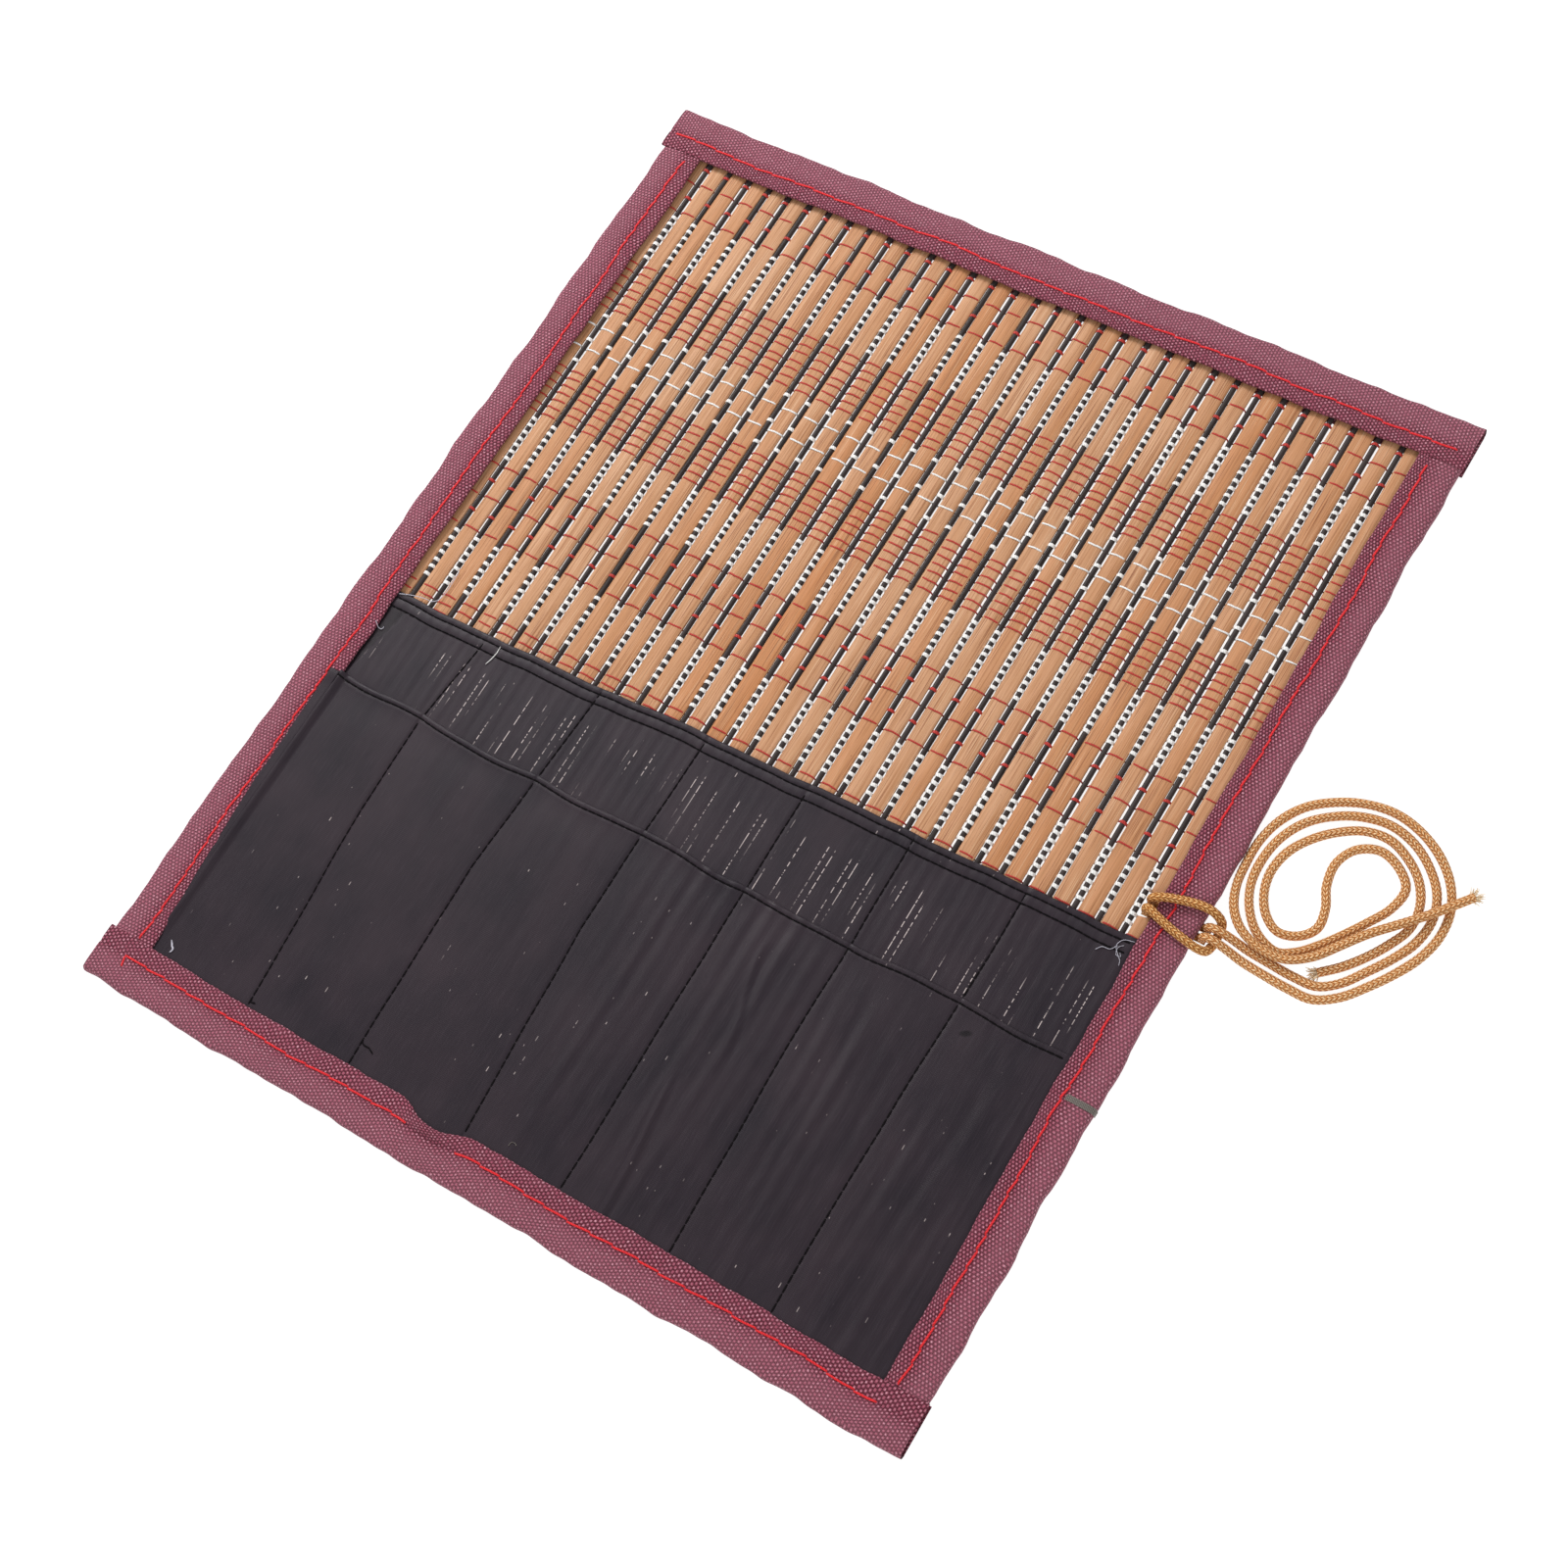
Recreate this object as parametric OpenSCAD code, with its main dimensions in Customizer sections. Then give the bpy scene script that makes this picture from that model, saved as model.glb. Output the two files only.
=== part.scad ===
// Brush roll case: a bamboo slat mat with cloth brush pockets, bound edges and a tie cord.
// Millimetres. X runs across the slats, Y along them, Z up. The mat lies open with its underside on Z = 0.

/* [Show] */
// which part to draw

/* [Mat] */
// width of the mat across the slats
mat_w = 273; // [200:1:400]
// length of the mat along the slats
mat_l = 330; // [200:1:450]
// distance from one rod to the next
pitch = 7.44; // [6:0.02:10]
// width of one bamboo slat
slat_w = 5; // [4:0.1:7]
// thickness of one bamboo slat
slat_t = 1.6; // [1:0.1:3]
// diameter of the round black rods between the slats
rod_d = 1.6; // [1:0.1:3]
// how far the slats reach from the middle, each way
slat_half = 160; // [90:1:220]

/* [Binding tape] */
// width of the left tape as seen from above
left_w = 14; // [8:0.1:25]
// width of the right tape as seen from above
right_w = 12.7; // [8:0.1:25]
// width of the top and bottom tapes as seen from above
end_w = 15; // [8:0.1:25]
// thickness of the tape on top
tape_t = 0.7; // [0.3:0.05:1.5]
// thickness of the tape underneath
under_t = 0.6; // [0.3:0.05:1.5]
// width of the sewing thread
stitch_w = 0.5; // [0.2:0.05:1]

/* [Pockets] */
// top edge of the back cloth at its left end
back_left = -20; // [-60:1:60]
// top edge of the back cloth at its right end
back_right = -17; // [-60:1:60]
// top edge of the front cloth
front_top = -52; // [-120:1:20]
// how far the cloths reach to each side, under the tapes
cloth_half = 127; // [80:1:180]
// thickness of the cloth
cloth_t = 0.2; // [0.1:0.05:0.6]

/* [Weave] */
// diameter of the warp threads
thread_d = 0.4; // [0.2:0.05:0.8]
// length of the pattern before it repeats
repeat = 124.5; // [60:0.5:200]

/* [Cord] */
// diameter of the tie cord
cord_d = 2.6; // [2:0.1:6]

/* [Hidden] */
rods = 33;
first_rod = -pitch * (rods - 1) / 2 - 0.46;
slat_z = 0.7;
rod_z = slat_z + slat_t / 2;
under_z = 0.15;
over_z = 2.45;
back_z = 2.9;
front_z = 3.2;
tape_z = 3.5;
top_z = tape_z + tape_t;
end_y = mat_l / 2;
side_x = mat_w / 2;
side_l = end_y - end_w;
wall = 0.8;
gap = 0.3;

// seams between the seven pockets
seams = [-90.7, -51.1, -12.7, 21.5, 56.5, 90.1];

// rows of the weave within one repeat, measured down from the top edge
red_rows = [17, 22.6, 28.1, 33.6, 56, 59, 61.9, 65.2, 67.8, 70.8, 73.7,
            97.9, 100.6, 103.5, 106.2, 109, 112, 114.8, 136.1];
white_rows = [36.4, 39.1, 41.8, 44.6, 47.3, 50, 52.8, 76.6, 80.9, 86.2, 89.2, 94.3,
              117.7, 120.3, 122.9, 125.4, 128, 130.6, 133.1];

// the cord's bight: up through the mat, over the tape, round the edge and back
bight = [[121.3, -3.9, 0.4], [121.3, -3.9, 3.6], [122.4, -3.6, 5.3], [125, -2.6, 5.85],
         [130, -1.1, 5.8], [135, -0.2, 5.75], [138.5, -0.2, 4.7], [140.9, -1.2, 2.5],
         [141.3, -3, 1.4], [141.4, -5.5, 1.35], [141.3, -8, 1.4], [140.7, -10.2, 2.5],
         [138.4, -11.2, 4.7], [135, -10.9, 5.75], [130, -9.8, 5.8], [125, -8.3, 5.85],
         [122.4, -7.3, 5.3], [121.3, -7, 3.6], [121.3, -7, 0.4]];

// the long tail's route
long_tail = [[138.1, -3.9, 0.65], [138.1, -3.9, 2], [139.1, -3.9, 3.45], [141.2, -3.9, 4.1],
             [145, -4, 3], [150, -4.4, 1.35], [157, -5, 1.35], [164, -5.4, 1.35],
             [170.5, -4.9, 1.35], [175.5, -1.3, 1.35], [180, 4.7, 1.35], [184.2, 11, 1.35],
             [187.5, 17.8, 1.35], [188.5, 25.2, 1.35], [186.5, 32.3, 1.35], [181.6, 38.3, 1.35],
             [175, 42.8, 1.35], [167.3, 44.8, 1.35], [159.5, 43.6, 1.35], [152.5, 40.1, 1.35],
             [146.7, 34.9, 1.35], [143, 28, 1.35], [141.6, 20.4, 1.35], [142.2, 12.8, 1.35],
             [145.3, 6, 1.35], [150.3, 0.9, 1.35], [157, -1.3, 1.35], [161.5, 1, 1.35],
             [165.6, 5.2, 1.35], [170, 11, 1.35], [174, 17, 1.35], [177.7, 23.5, 1.35],
             [178.6, 30.2, 1.35], [174.2, 34.9, 1.35], [168, 36.9, 1.35], [162.2, 34.2, 1.35],
             [159.3, 28.5, 1.35], [160, 21.5, 1.35], [162.7, 15.5, 1.35], [163.3, 9.6, 1.35],
             [160, 5.4, 1.35], [154.6, 3.9, 1.35], [149.9, 6.6, 1.35], [146.6, 11.7, 1.35],
             [145.2, 18, 1.35], [146.4, 25, 1.35], [150.2, 31.3, 1.35], [155.7, 36.6, 1.35],
             [162, 40.2, 1.35], [168.8, 40.9, 1.35], [175, 38.4, 1.35], [180.6, 33.8, 1.35],
             [184, 27.4, 1.35], [184.4, 20.6, 1.35], [181.6, 14, 1.35], [178, 8.2, 1.35],
             [173.8, 3, 1.35], [168.8, -1.6, 1.35]];

// the short tail's route
short_tail = [[138.1, -7, 0.65], [138.1, -7, 2], [139.1, -7, 3.45], [141.2, -7, 4.1],
              [145, -7.3, 3], [150, -7.9, 1.35], [157, -8.6, 1.35], [164, -9, 1.35],
              [171, -8.7, 1.35], [177, -4.9, 1.35], [182, 1, 1.35], [186.6, 7.6, 1.35],
              [190.3, 14.6, 1.35], [192.2, 22.2, 1.35], [191.5, 30, 1.35], [188, 37, 1.35],
              [182.3, 42.7, 1.35], [175, 46.7, 1.35], [167, 48.5, 1.35], [159, 47.5, 1.35],
              [151.5, 44.3, 1.35], [145, 39.4, 1.35], [140.6, 32.6, 1.35], [138.5, 25, 1.35],
              [138.3, 17.5, 1.35], [139.2, 10.2, 2], [142, 3.6, 3.45], [146.5, -0.9, 4.1],
              [153, -3.2, 4.1], [160, -3, 4.1], [166, 0.8, 4.1], [171, 7, 4.1],
              [175.8, 13.2, 4.1], [181.5, 19.2, 4.1], [187.5, 25.6, 4.1], [191.5, 30.4, 4.1],
              [195.3, 35.6, 3]];

tape_rgb = [0.53, 0.27, 0.35];
slat_rgb = [0.83, 0.64, 0.46];
rod_rgb = [0.1, 0.09, 0.09];
cloth_rgb = [0.23, 0.21, 0.24];
red_rgb = [0.85, 0.13, 0.13];
cord_rgb = [0.79, 0.55, 0.32];

function slat_name(i) = str("slat_", i < 10 ? "0" : "", i);
function rod_x(i) = first_rod + pitch * (i - 1);
function unit(v) = v / norm(v);

// direction of a route at point i
function heading(r, i) = unit(r[min(i + 1, len(r) - 1)] - r[max(i - 1, 0)]);

// a side vector carried along the route without twist
function carried(r, i, u) = let (t = heading(r, i), v = u - t * (u * t)) unit(v);
function sides(r, i, u) = i == len(r) ? [] : let (v = carried(r, i, u)) concat([v], sides(r, i + 1, v));

// a round tube of n sides along a route
module tube(route, d, n = 8) {
    us = sides(route, 0, [0.1, 1, 0.03]);
    m = len(route);
    pts = [for (i = [0:m - 1], k = [0:n - 1])
           let (t = heading(route, i), u = us[i], w = cross(t, u), a = 360 * (k + 0.5) / n)
           route[i] + (u * cos(a) + w * sin(a)) * d / 2];
    quads = [for (i = [0:m - 2], k = [0:n - 1])
             [i * n + k, i * n + (k + 1) % n, (i + 1) * n + (k + 1) % n, (i + 1) * n + k]];
    tris = [for (q = quads) each [[q[0], q[2], q[1]], [q[0], q[3], q[2]]]];
    cap0 = [for (k = [0:n - 1]) k];
    cap1 = [for (k = [n - 1:-1:0]) (m - 1) * n + k];
    polyhedron(points = pts, faces = concat(tris, [cap0, cap1]), convexity = 6);
}

// a box given by its two corners
module block(a, b) translate(a) cube(b - a);

// one bamboo slat between x0 and x1, with its upper edges eased
module bamboo(x0, x1) {
    e = 0.35;
    translate([0, slat_half, 0])
        rotate([90, 0, 0])
            linear_extrude(2 * slat_half)
                polygon([[x0, slat_z + e], [x0 + e, slat_z], [x1 - e, slat_z], [x1, slat_z + e],
                         [x1, slat_z + slat_t - e], [x1 - e, slat_z + slat_t],
                         [x0 + e, slat_z + slat_t], [x0, slat_z + slat_t - e]]);
}

// slat i and the black rod on its right; the last slat has no rod and lets the cord through
module slat(i) {
    x = i <= rods ? rod_x(i) - pitch / 2 : rod_x(rods) + pitch / 2;
    color(slat_rgb)
        difference() {
            bamboo(x - slat_w / 2, x + slat_w / 2);
            if (i > rods)
                block([x - slat_w / 2 - 1, -8.9, 0], [x - slat_w / 2 + 3.4, -2, 4]);
        }
    if (i <= rods)
        color(rod_rgb)
            translate([rod_x(i), slat_half, rod_z])
                rotate([90, 0, 0])
                    cylinder(h = 2 * slat_half, d = rod_d, $fn = 24);
}

// the narrow slats hidden inside the side tapes
module left_edge_slat() color(slat_rgb) bamboo(-side_x + 1.4, rod_x(1) - pitch + 0.6);
module right_edge_slat() color(slat_rgb) bamboo(rod_x(rods) + pitch - 0.6, side_x - 1.4);

// tape folded over an edge: a strip on top, a strip underneath and the fold; x runs in from the edge
module fold(w) {
    r = 0.9;
    difference() {
        polygon([[0, r], [r * 0.3, r * 0.3], [r, 0], [w, 0], [w, top_z], [r * 1.4, top_z],
                 [r * 0.4, top_z - 0.5], [0, top_z - 1.4]]);
        polygon([[wall, under_t], [w + 1, under_t], [w + 1, tape_z], [wall, tape_z]]);
    }
}

module left_binding() {
    color(tape_rgb)
        translate([-side_x, side_l - gap, 0])
            rotate([90, 0, 0])
                linear_extrude(2 * (side_l - gap))
                    fold(left_w);
}

// the right tape makes room underneath for the cord's two flattened strands
module right_binding() {
    color(tape_rgb)
        difference() {
            translate([side_x, -side_l + gap, 0])
                rotate([90, 0, 180])
                    linear_extrude(2 * (side_l - gap))
                        fold(right_w);
            block([side_x - right_w - 1, -9.1, -1], [side_x + 1, -1.8, slat_z]);
        }
}

module end_tape() {
    translate([-side_x, end_y, 0])
        rotate([90, 0, 90])
            linear_extrude(mat_w)
                mirror([1, 0])
                    fold(end_w);
}

module top_binding() color(tape_rgb) end_tape();
module bottom_binding() color(tape_rgb) mirror([0, 1, 0]) end_tape();

// the cloth sewn to the mat behind the pockets
module pocket_back() {
    color(cloth_rgb)
        translate([0, 0, back_z])
            linear_extrude(cloth_t)
                polygon([[-cloth_half, -end_y + 5], [cloth_half, -end_y + 5],
                         [cloth_half, back_right], [0, back_right - 1.5], [-cloth_half, back_left]]);
}

// the cloth that makes the seven pockets
module pocket_front() {
    color(cloth_rgb)
        translate([0, 0, front_z])
            linear_extrude(cloth_t)
                polygon([[-cloth_half, -end_y + 5], [cloth_half, -end_y + 5],
                         [cloth_half, front_top - 1], [-cloth_half, front_top]]);
}

// sewing thread along the tapes
module thread_line(a, b) color(red_rgb) block(a, b);
module left_stitching() {
    x = -side_x + 9.4;
    thread_line([x - stitch_w / 2, -side_l + 1, top_z], [x + stitch_w / 2, side_l - 1, top_z + 0.2]);
}
module right_stitching() {
    x = side_x - 8.8;
    thread_line([x - stitch_w / 2, -side_l + 1, top_z], [x + stitch_w / 2, side_l - 1, top_z + 0.2]);
}
module top_stitching() {
    y = end_y - 10;
    thread_line([-side_x + 4, y - stitch_w / 2, top_z], [side_x - 3, y + stitch_w / 2, top_z + 0.2]);
}
module bottom_stitching() {
    y = -end_y + 9.4;
    thread_line([-side_x + 9, y - stitch_w / 2, top_z], [side_x - 6, y + stitch_w / 2, top_z + 0.2]);
}

// dark seams between the pockets and the stitched hems of both cloths
module pocket_stitching() {
    t = 0.08;
    f = front_z + cloth_t;
    b = back_z + cloth_t;
    color(cloth_rgb * 0.5) {
        for (x = seams) {
            block([x - 0.2, -side_l + gap, f], [x + 0.2, front_top - 1.2, f + t]);
            block([x - 0.2, front_top + 0.5, b], [x + 0.2, back_left - 3.4, b + t]);
        }
        block([-121, front_top - 4.4, f], [121, front_top - 4, f + 2 * t]);
        block([-121, back_left - 3.2, b], [121, back_left - 2.8, b + 2 * t]);
    }
}

// one warp thread: a strand over the slats and a strand under them
module warp(y, right) {
    block([-128, y - thread_d / 2, over_z], [right, y + thread_d / 2, over_z + thread_d]);
    block([-121.8, y - thread_d / 2, under_z], [119.4, y + thread_d / 2, under_z + thread_d]);
}

module warp_rows(rows) {
    for (n = [0:2], r = rows) {
        y = end_y - r - n * repeat;
        if (y > -end_y + 22)
            warp(y, abs(y + 5.4) < 2.2 ? 119.4 : 128);
    }
}

module warp_threads_red() color([0.62, 0.2, 0.16]) warp_rows(red_rows);
module warp_threads_white() color([0.93, 0.92, 0.9]) warp_rows(white_rows);

// the lark's head: the bight on top and two strands pressed flat under the edge
module cord_hitch() {
    color(cord_rgb) {
        tube(bight, cord_d);
        for (y = [-3.9, -7])
            block([119.8, y - 1.52, 0.05], [139.6, y + 1.52, 0.65]);
    }
}
module cord_tail_long() color(cord_rgb) tube(long_tail, cord_d);
module cord_tail_short() color(cord_rgb) tube(short_tail, cord_d);

slat(1);  // slat_01
slat(2);  // slat_02
slat(3);  // slat_03
slat(4);  // slat_04
slat(5);  // slat_05
slat(6);  // slat_06
slat(7);  // slat_07
slat(8);  // slat_08
slat(9);  // slat_09
slat(10);  // slat_10
slat(11);  // slat_11
slat(12);  // slat_12
slat(13);  // slat_13
slat(14);  // slat_14
slat(15);  // slat_15
slat(16);  // slat_16
slat(17);  // slat_17
slat(18);  // slat_18
slat(19);  // slat_19
slat(20);  // slat_20
slat(21);  // slat_21
slat(22);  // slat_22
slat(23);  // slat_23
slat(24);  // slat_24
slat(25);  // slat_25
slat(26);  // slat_26
slat(27);  // slat_27
slat(28);  // slat_28
slat(29);  // slat_29
slat(30);  // slat_30
slat(31);  // slat_31
slat(32);  // slat_32
slat(33);  // slat_33
slat(34);  // slat_34
left_edge_slat();
right_edge_slat();
left_binding();
right_binding();
top_binding();
bottom_binding();
pocket_back();
pocket_front();
left_stitching();
right_stitching();
top_stitching();
bottom_stitching();
pocket_stitching();
warp_threads_red();
warp_threads_white();
cord_hitch();
cord_tail_long();
cord_tail_short();
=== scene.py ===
import math

import bpy
import numpy as np
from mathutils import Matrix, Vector


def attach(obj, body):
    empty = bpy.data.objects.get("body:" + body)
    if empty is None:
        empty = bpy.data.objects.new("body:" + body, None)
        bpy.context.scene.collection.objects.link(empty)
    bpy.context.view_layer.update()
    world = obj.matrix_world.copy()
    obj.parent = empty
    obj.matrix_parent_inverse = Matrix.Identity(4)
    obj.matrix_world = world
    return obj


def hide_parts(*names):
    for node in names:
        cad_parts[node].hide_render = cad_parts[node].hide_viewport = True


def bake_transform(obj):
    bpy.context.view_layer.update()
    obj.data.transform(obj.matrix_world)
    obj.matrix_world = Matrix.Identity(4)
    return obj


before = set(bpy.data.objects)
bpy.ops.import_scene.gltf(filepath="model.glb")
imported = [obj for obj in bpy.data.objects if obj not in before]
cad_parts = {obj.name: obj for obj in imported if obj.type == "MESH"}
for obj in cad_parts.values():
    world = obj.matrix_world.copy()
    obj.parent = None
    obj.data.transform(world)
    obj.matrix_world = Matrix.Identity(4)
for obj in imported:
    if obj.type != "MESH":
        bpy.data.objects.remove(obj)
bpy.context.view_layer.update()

# All lengths below are millimetres; MM turns them into metres where a mesh is made.
MM = 0.001
HALF_W, HALF_L = 136.5, 165.0
RODS = 33
SLATS = RODS + 1
PITCH = 7.44
HALF_PITCH = PITCH / 2
FIRST_ROD = -119.5
ROD_Z, ROD_R = 1.5, 0.8
SLAT_END = 160.0
# the top and bottom tapes reach a little past the side tapes
FAR_LEFT, FAR_RIGHT = -HALF_W - 0.6, HALF_W + 0.6


def rod_x(i):
    return FIRST_ROD + PITCH * (i - 1)


def slat_x(i):
    """The middle of slat i, which lies to the left of rod i."""
    return rod_x(i) - HALF_PITCH


def body(i):
    """The body that slat i belongs to."""
    return "left_edge" if i == 1 else "right_edge" if i == SLATS else f"link_{i:02d}"


def wave(t, seed, scale=1.0):
    """A smooth made-up wobble between about -1 and 1."""
    t = np.asarray(t, float) / scale
    return (
        np.sin(t + seed * 1.7)
        + 0.6 * np.sin(2.31 * t + seed * 4.3)
        + 0.35 * np.sin(4.07 * t + seed * 7.9)
    ) / 1.6


def smooth(a, b, t):
    """0 at a and 1 at b, with no corner between; a may be the larger."""
    s = np.clip((np.asarray(t, float) - a) / (b - a), 0, 1)
    return s * s * (3 - 2 * s)


# ---- camera, floor, light

CAMERA_AT = (0.26123, -0.20748, 0.65057)
CAMERA_TURN = (23.6608, 9.87, 31.6166)
CAMERA_LENS = 58.583

scene = bpy.context.scene
scene.view_settings.view_transform = "Standard"
camera = bpy.data.objects.new("camera", bpy.data.cameras.new("camera"))
scene.collection.objects.link(camera)
camera.location = CAMERA_AT
camera.rotation_euler = [math.radians(a) for a in CAMERA_TURN]
camera.data.lens = CAMERA_LENS
camera.data.sensor_width = 36
camera.data.clip_start = 0.01
scene.camera = camera


# ---- materials


def math_node(kind):
    return lambda self, *others: self.op(kind, *others)


class Num:
    """A number in a material's node tree, with arithmetic that adds Math nodes."""

    def __init__(self, mat, socket):
        self.mat, self.socket = mat, socket

    def op(self, kind, *others):
        node = self.mat.node("ShaderNodeMath", operation=kind)
        for i, x in enumerate((self, *others)):
            self.mat.put(node.inputs[i], x)
        return Num(self.mat, node.outputs[0])

    __add__, __sub__ = math_node("ADD"), math_node("SUBTRACT")
    __mul__, __truediv__ = math_node("MULTIPLY"), math_node("DIVIDE")
    sin, floor, fract = math_node("SINE"), math_node("FLOOR"), math_node("FRACT")
    abs, max, min = math_node("ABSOLUTE"), math_node("MAXIMUM"), math_node("MINIMUM")
    power, above = math_node("POWER"), math_node("GREATER_THAN")

    def clamp(self):
        return self.max(0.0).min(1.0)

    def step(self, a, b):
        """0 below a and 1 above b, in a straight ramp; a may be the larger."""
        return ((self - a) / (b - a)).clamp()


class Mat:
    """A material and short ways to add its nodes."""

    def __init__(self, name, **fixed):
        self.m = bpy.data.materials.new(name)
        self.m.use_nodes = True
        self.tree = self.m.node_tree
        self.shader = self.tree.nodes["Principled BSDF"]
        for key, value in fixed.items():
            self.shader.inputs[key.replace("_", " ")].default_value = value

    def node(self, kind, **props):
        node = self.tree.nodes.new(kind)
        for key, value in props.items():
            setattr(node, key, value)
        return node

    def put(self, socket, x):
        if isinstance(x, Num):
            x = x.socket
        if isinstance(x, bpy.types.NodeSocket):
            self.tree.links.new(x, socket)
        else:
            socket.default_value = x

    def uv(self):
        """The piece's own coordinates in millimetres."""
        split = self.node("ShaderNodeSeparateXYZ")
        self.put(split.inputs[0], self.node("ShaderNodeUVMap", uv_map="mm").outputs[0])
        return Num(self, split.outputs[0]), Num(self, split.outputs[1])

    def value(self, name):
        node = self.node("ShaderNodeAttribute", attribute_name=name)
        return Num(self, node.outputs["Fac"])

    def noise(self, x, y, z=0.0, detail=3.0, rough=0.55):
        point = self.node("ShaderNodeCombineXYZ")
        for i, v in enumerate((x, y, z)):
            self.put(point.inputs[i], v)
        node = self.node("ShaderNodeTexNoise")
        self.put(node.inputs["Vector"], point.outputs[0])
        node.inputs["Scale"].default_value = 1.0
        node.inputs["Detail"].default_value = detail
        node.inputs["Roughness"].default_value = rough
        return Num(self, node.outputs["Fac"])

    def mix(self, factor, a, b):
        node = self.node("ShaderNodeMix", data_type="RGBA")
        self.put(node.inputs[0], factor)
        for socket, x in ((node.inputs[6], a), (node.inputs[7], b)):
            self.put(socket, (*x, 1.0) if isinstance(x, tuple) else x)
        return node.outputs[2]

    def bump(self, height, distance, strength=1.0):
        node = self.node("ShaderNodeBump")
        node.inputs["Strength"].default_value = strength
        node.inputs["Distance"].default_value = distance
        self.put(node.inputs["Height"], height)
        self.put(self.shader.inputs["Normal"], node.outputs[0])

    def finish(self, colour, roughness=None):
        self.put(self.shader.inputs["Base Color"], colour)
        if roughness is not None:
            self.put(self.shader.inputs["Roughness"], roughness)
        return self.m


def bamboo_material():
    k = Mat("bamboo", Specular_IOR_Level=0.25)
    x, y = k.uv()
    tone = k.value("tone")
    broad = k.noise(x * 0.7, y * 0.014, 1.5, 2.0)
    fine = k.noise(x * 2.3, y * 0.022, 4.0, 4.0, 0.75)
    fibre = k.noise(x * 4.4, y * 0.03, 9.0, 2.0)
    patch = k.noise(x * 0.4, y * 0.045, 2.0, 3.0)
    speck = k.noise(x * 2.6, y * 0.9, 6.0, 2.0)
    light = k.mix(patch.step(0.35, 0.7), (0.64, 0.36, 0.208), (0.535, 0.275, 0.138))
    base = k.mix(tone, light, (0.54, 0.215, 0.077))
    base = k.mix(broad.step(0.46, 0.62) * 0.45, base, (0.47, 0.22, 0.095))
    base = k.mix(fine.step(0.50, 0.59) * 0.62, base, (0.36, 0.155, 0.065))
    base = k.mix(fibre.step(0.60, 0.66) * 0.85, base, (0.22, 0.075, 0.03))
    base = k.mix(fibre.step(0.39, 0.33) * 0.45, base, (0.80, 0.57, 0.37))
    base = k.mix(speck.step(0.70, 0.76) * 0.6, base, (0.20, 0.075, 0.03))
    k.bump(fine * 0.6 + fibre * 0.4, 0.00015, 0.7)
    return k.finish(base, fine * 0.3 + 0.45)


def rod_material():
    k = Mat("rod", Specular_IOR_Level=0.15)
    run, turn = k.uv()
    tone = k.value("tone")
    along = k.noise(run * 0.05, turn * 2.0, 3.0, 3.0)
    fine = k.noise(run * 0.25, turn * 9.0, 5.0, 2.0)
    base = k.mix(along.step(0.3, 0.7), (0.020, 0.015, 0.014), (0.050, 0.039, 0.036))
    base = k.mix(tone * 0.45, base, (0.075, 0.058, 0.056))
    k.bump(fine, 0.00008, 0.5)
    return k.finish(base, along * 0.3 + 0.35)


def tape_material():
    """Coarse woven tape: ribs across it, each a row of short raised yarns, every other row half a step on."""
    k = Mat("tape", Specular_IOR_Level=0.2, Sheen_Weight=0.08, Sheen_Roughness=0.5)
    u, v = k.uv()
    drift = k.noise(u * 0.05, v * 0.12, 3.0, 2.0) - 0.5
    rib = (u + drift * 1.6 + v * 0.10) / 0.98
    half = (rib.floor() * 0.5).fract()
    across = (rib.fract() * math.pi).sin()
    yarn = (((v + drift * 0.9) / 1.12 + half).fract() * math.pi).sin()
    loose = k.noise(u * 1.3, v * 1.1, 7.0, 2.0)
    height = across.power(0.7) * yarn.power(1.1) * (loose * 0.9 + 0.5)
    wear = k.noise(u * 0.09, v * 0.22, 11.0, 3.0)
    dust = k.noise(u * 0.35, v * 0.5, 13.0, 2.0)
    # painted shade and highlight: the weave's dips are darkened and the tops of its raised yarns lightened
    base = k.mix(height.step(0.10, 0.66), (0.092, 0.011, 0.023), (0.40, 0.097, 0.150))
    base = k.mix((height * loose).step(0.38, 0.60) * 0.85, base, (0.82, 0.44, 0.52))
    base = k.mix(wear.step(0.45, 0.75) * 0.35, base, (0.33, 0.085, 0.13))
    base = k.mix(dust.step(0.6, 0.8) * 0.22, base, (0.20, 0.022, 0.042))
    # painted highlight: the outer half, from the stitch line over to the fold, is made paler
    base = k.mix(v.step(5.0, 8.5) * v.step(17, 15) * 0.22, base, (0.60, 0.25, 0.32))
    k.bump(height, 0.0005, 1.0)
    return k.finish(base, height * 0.1 + 0.75)


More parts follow.
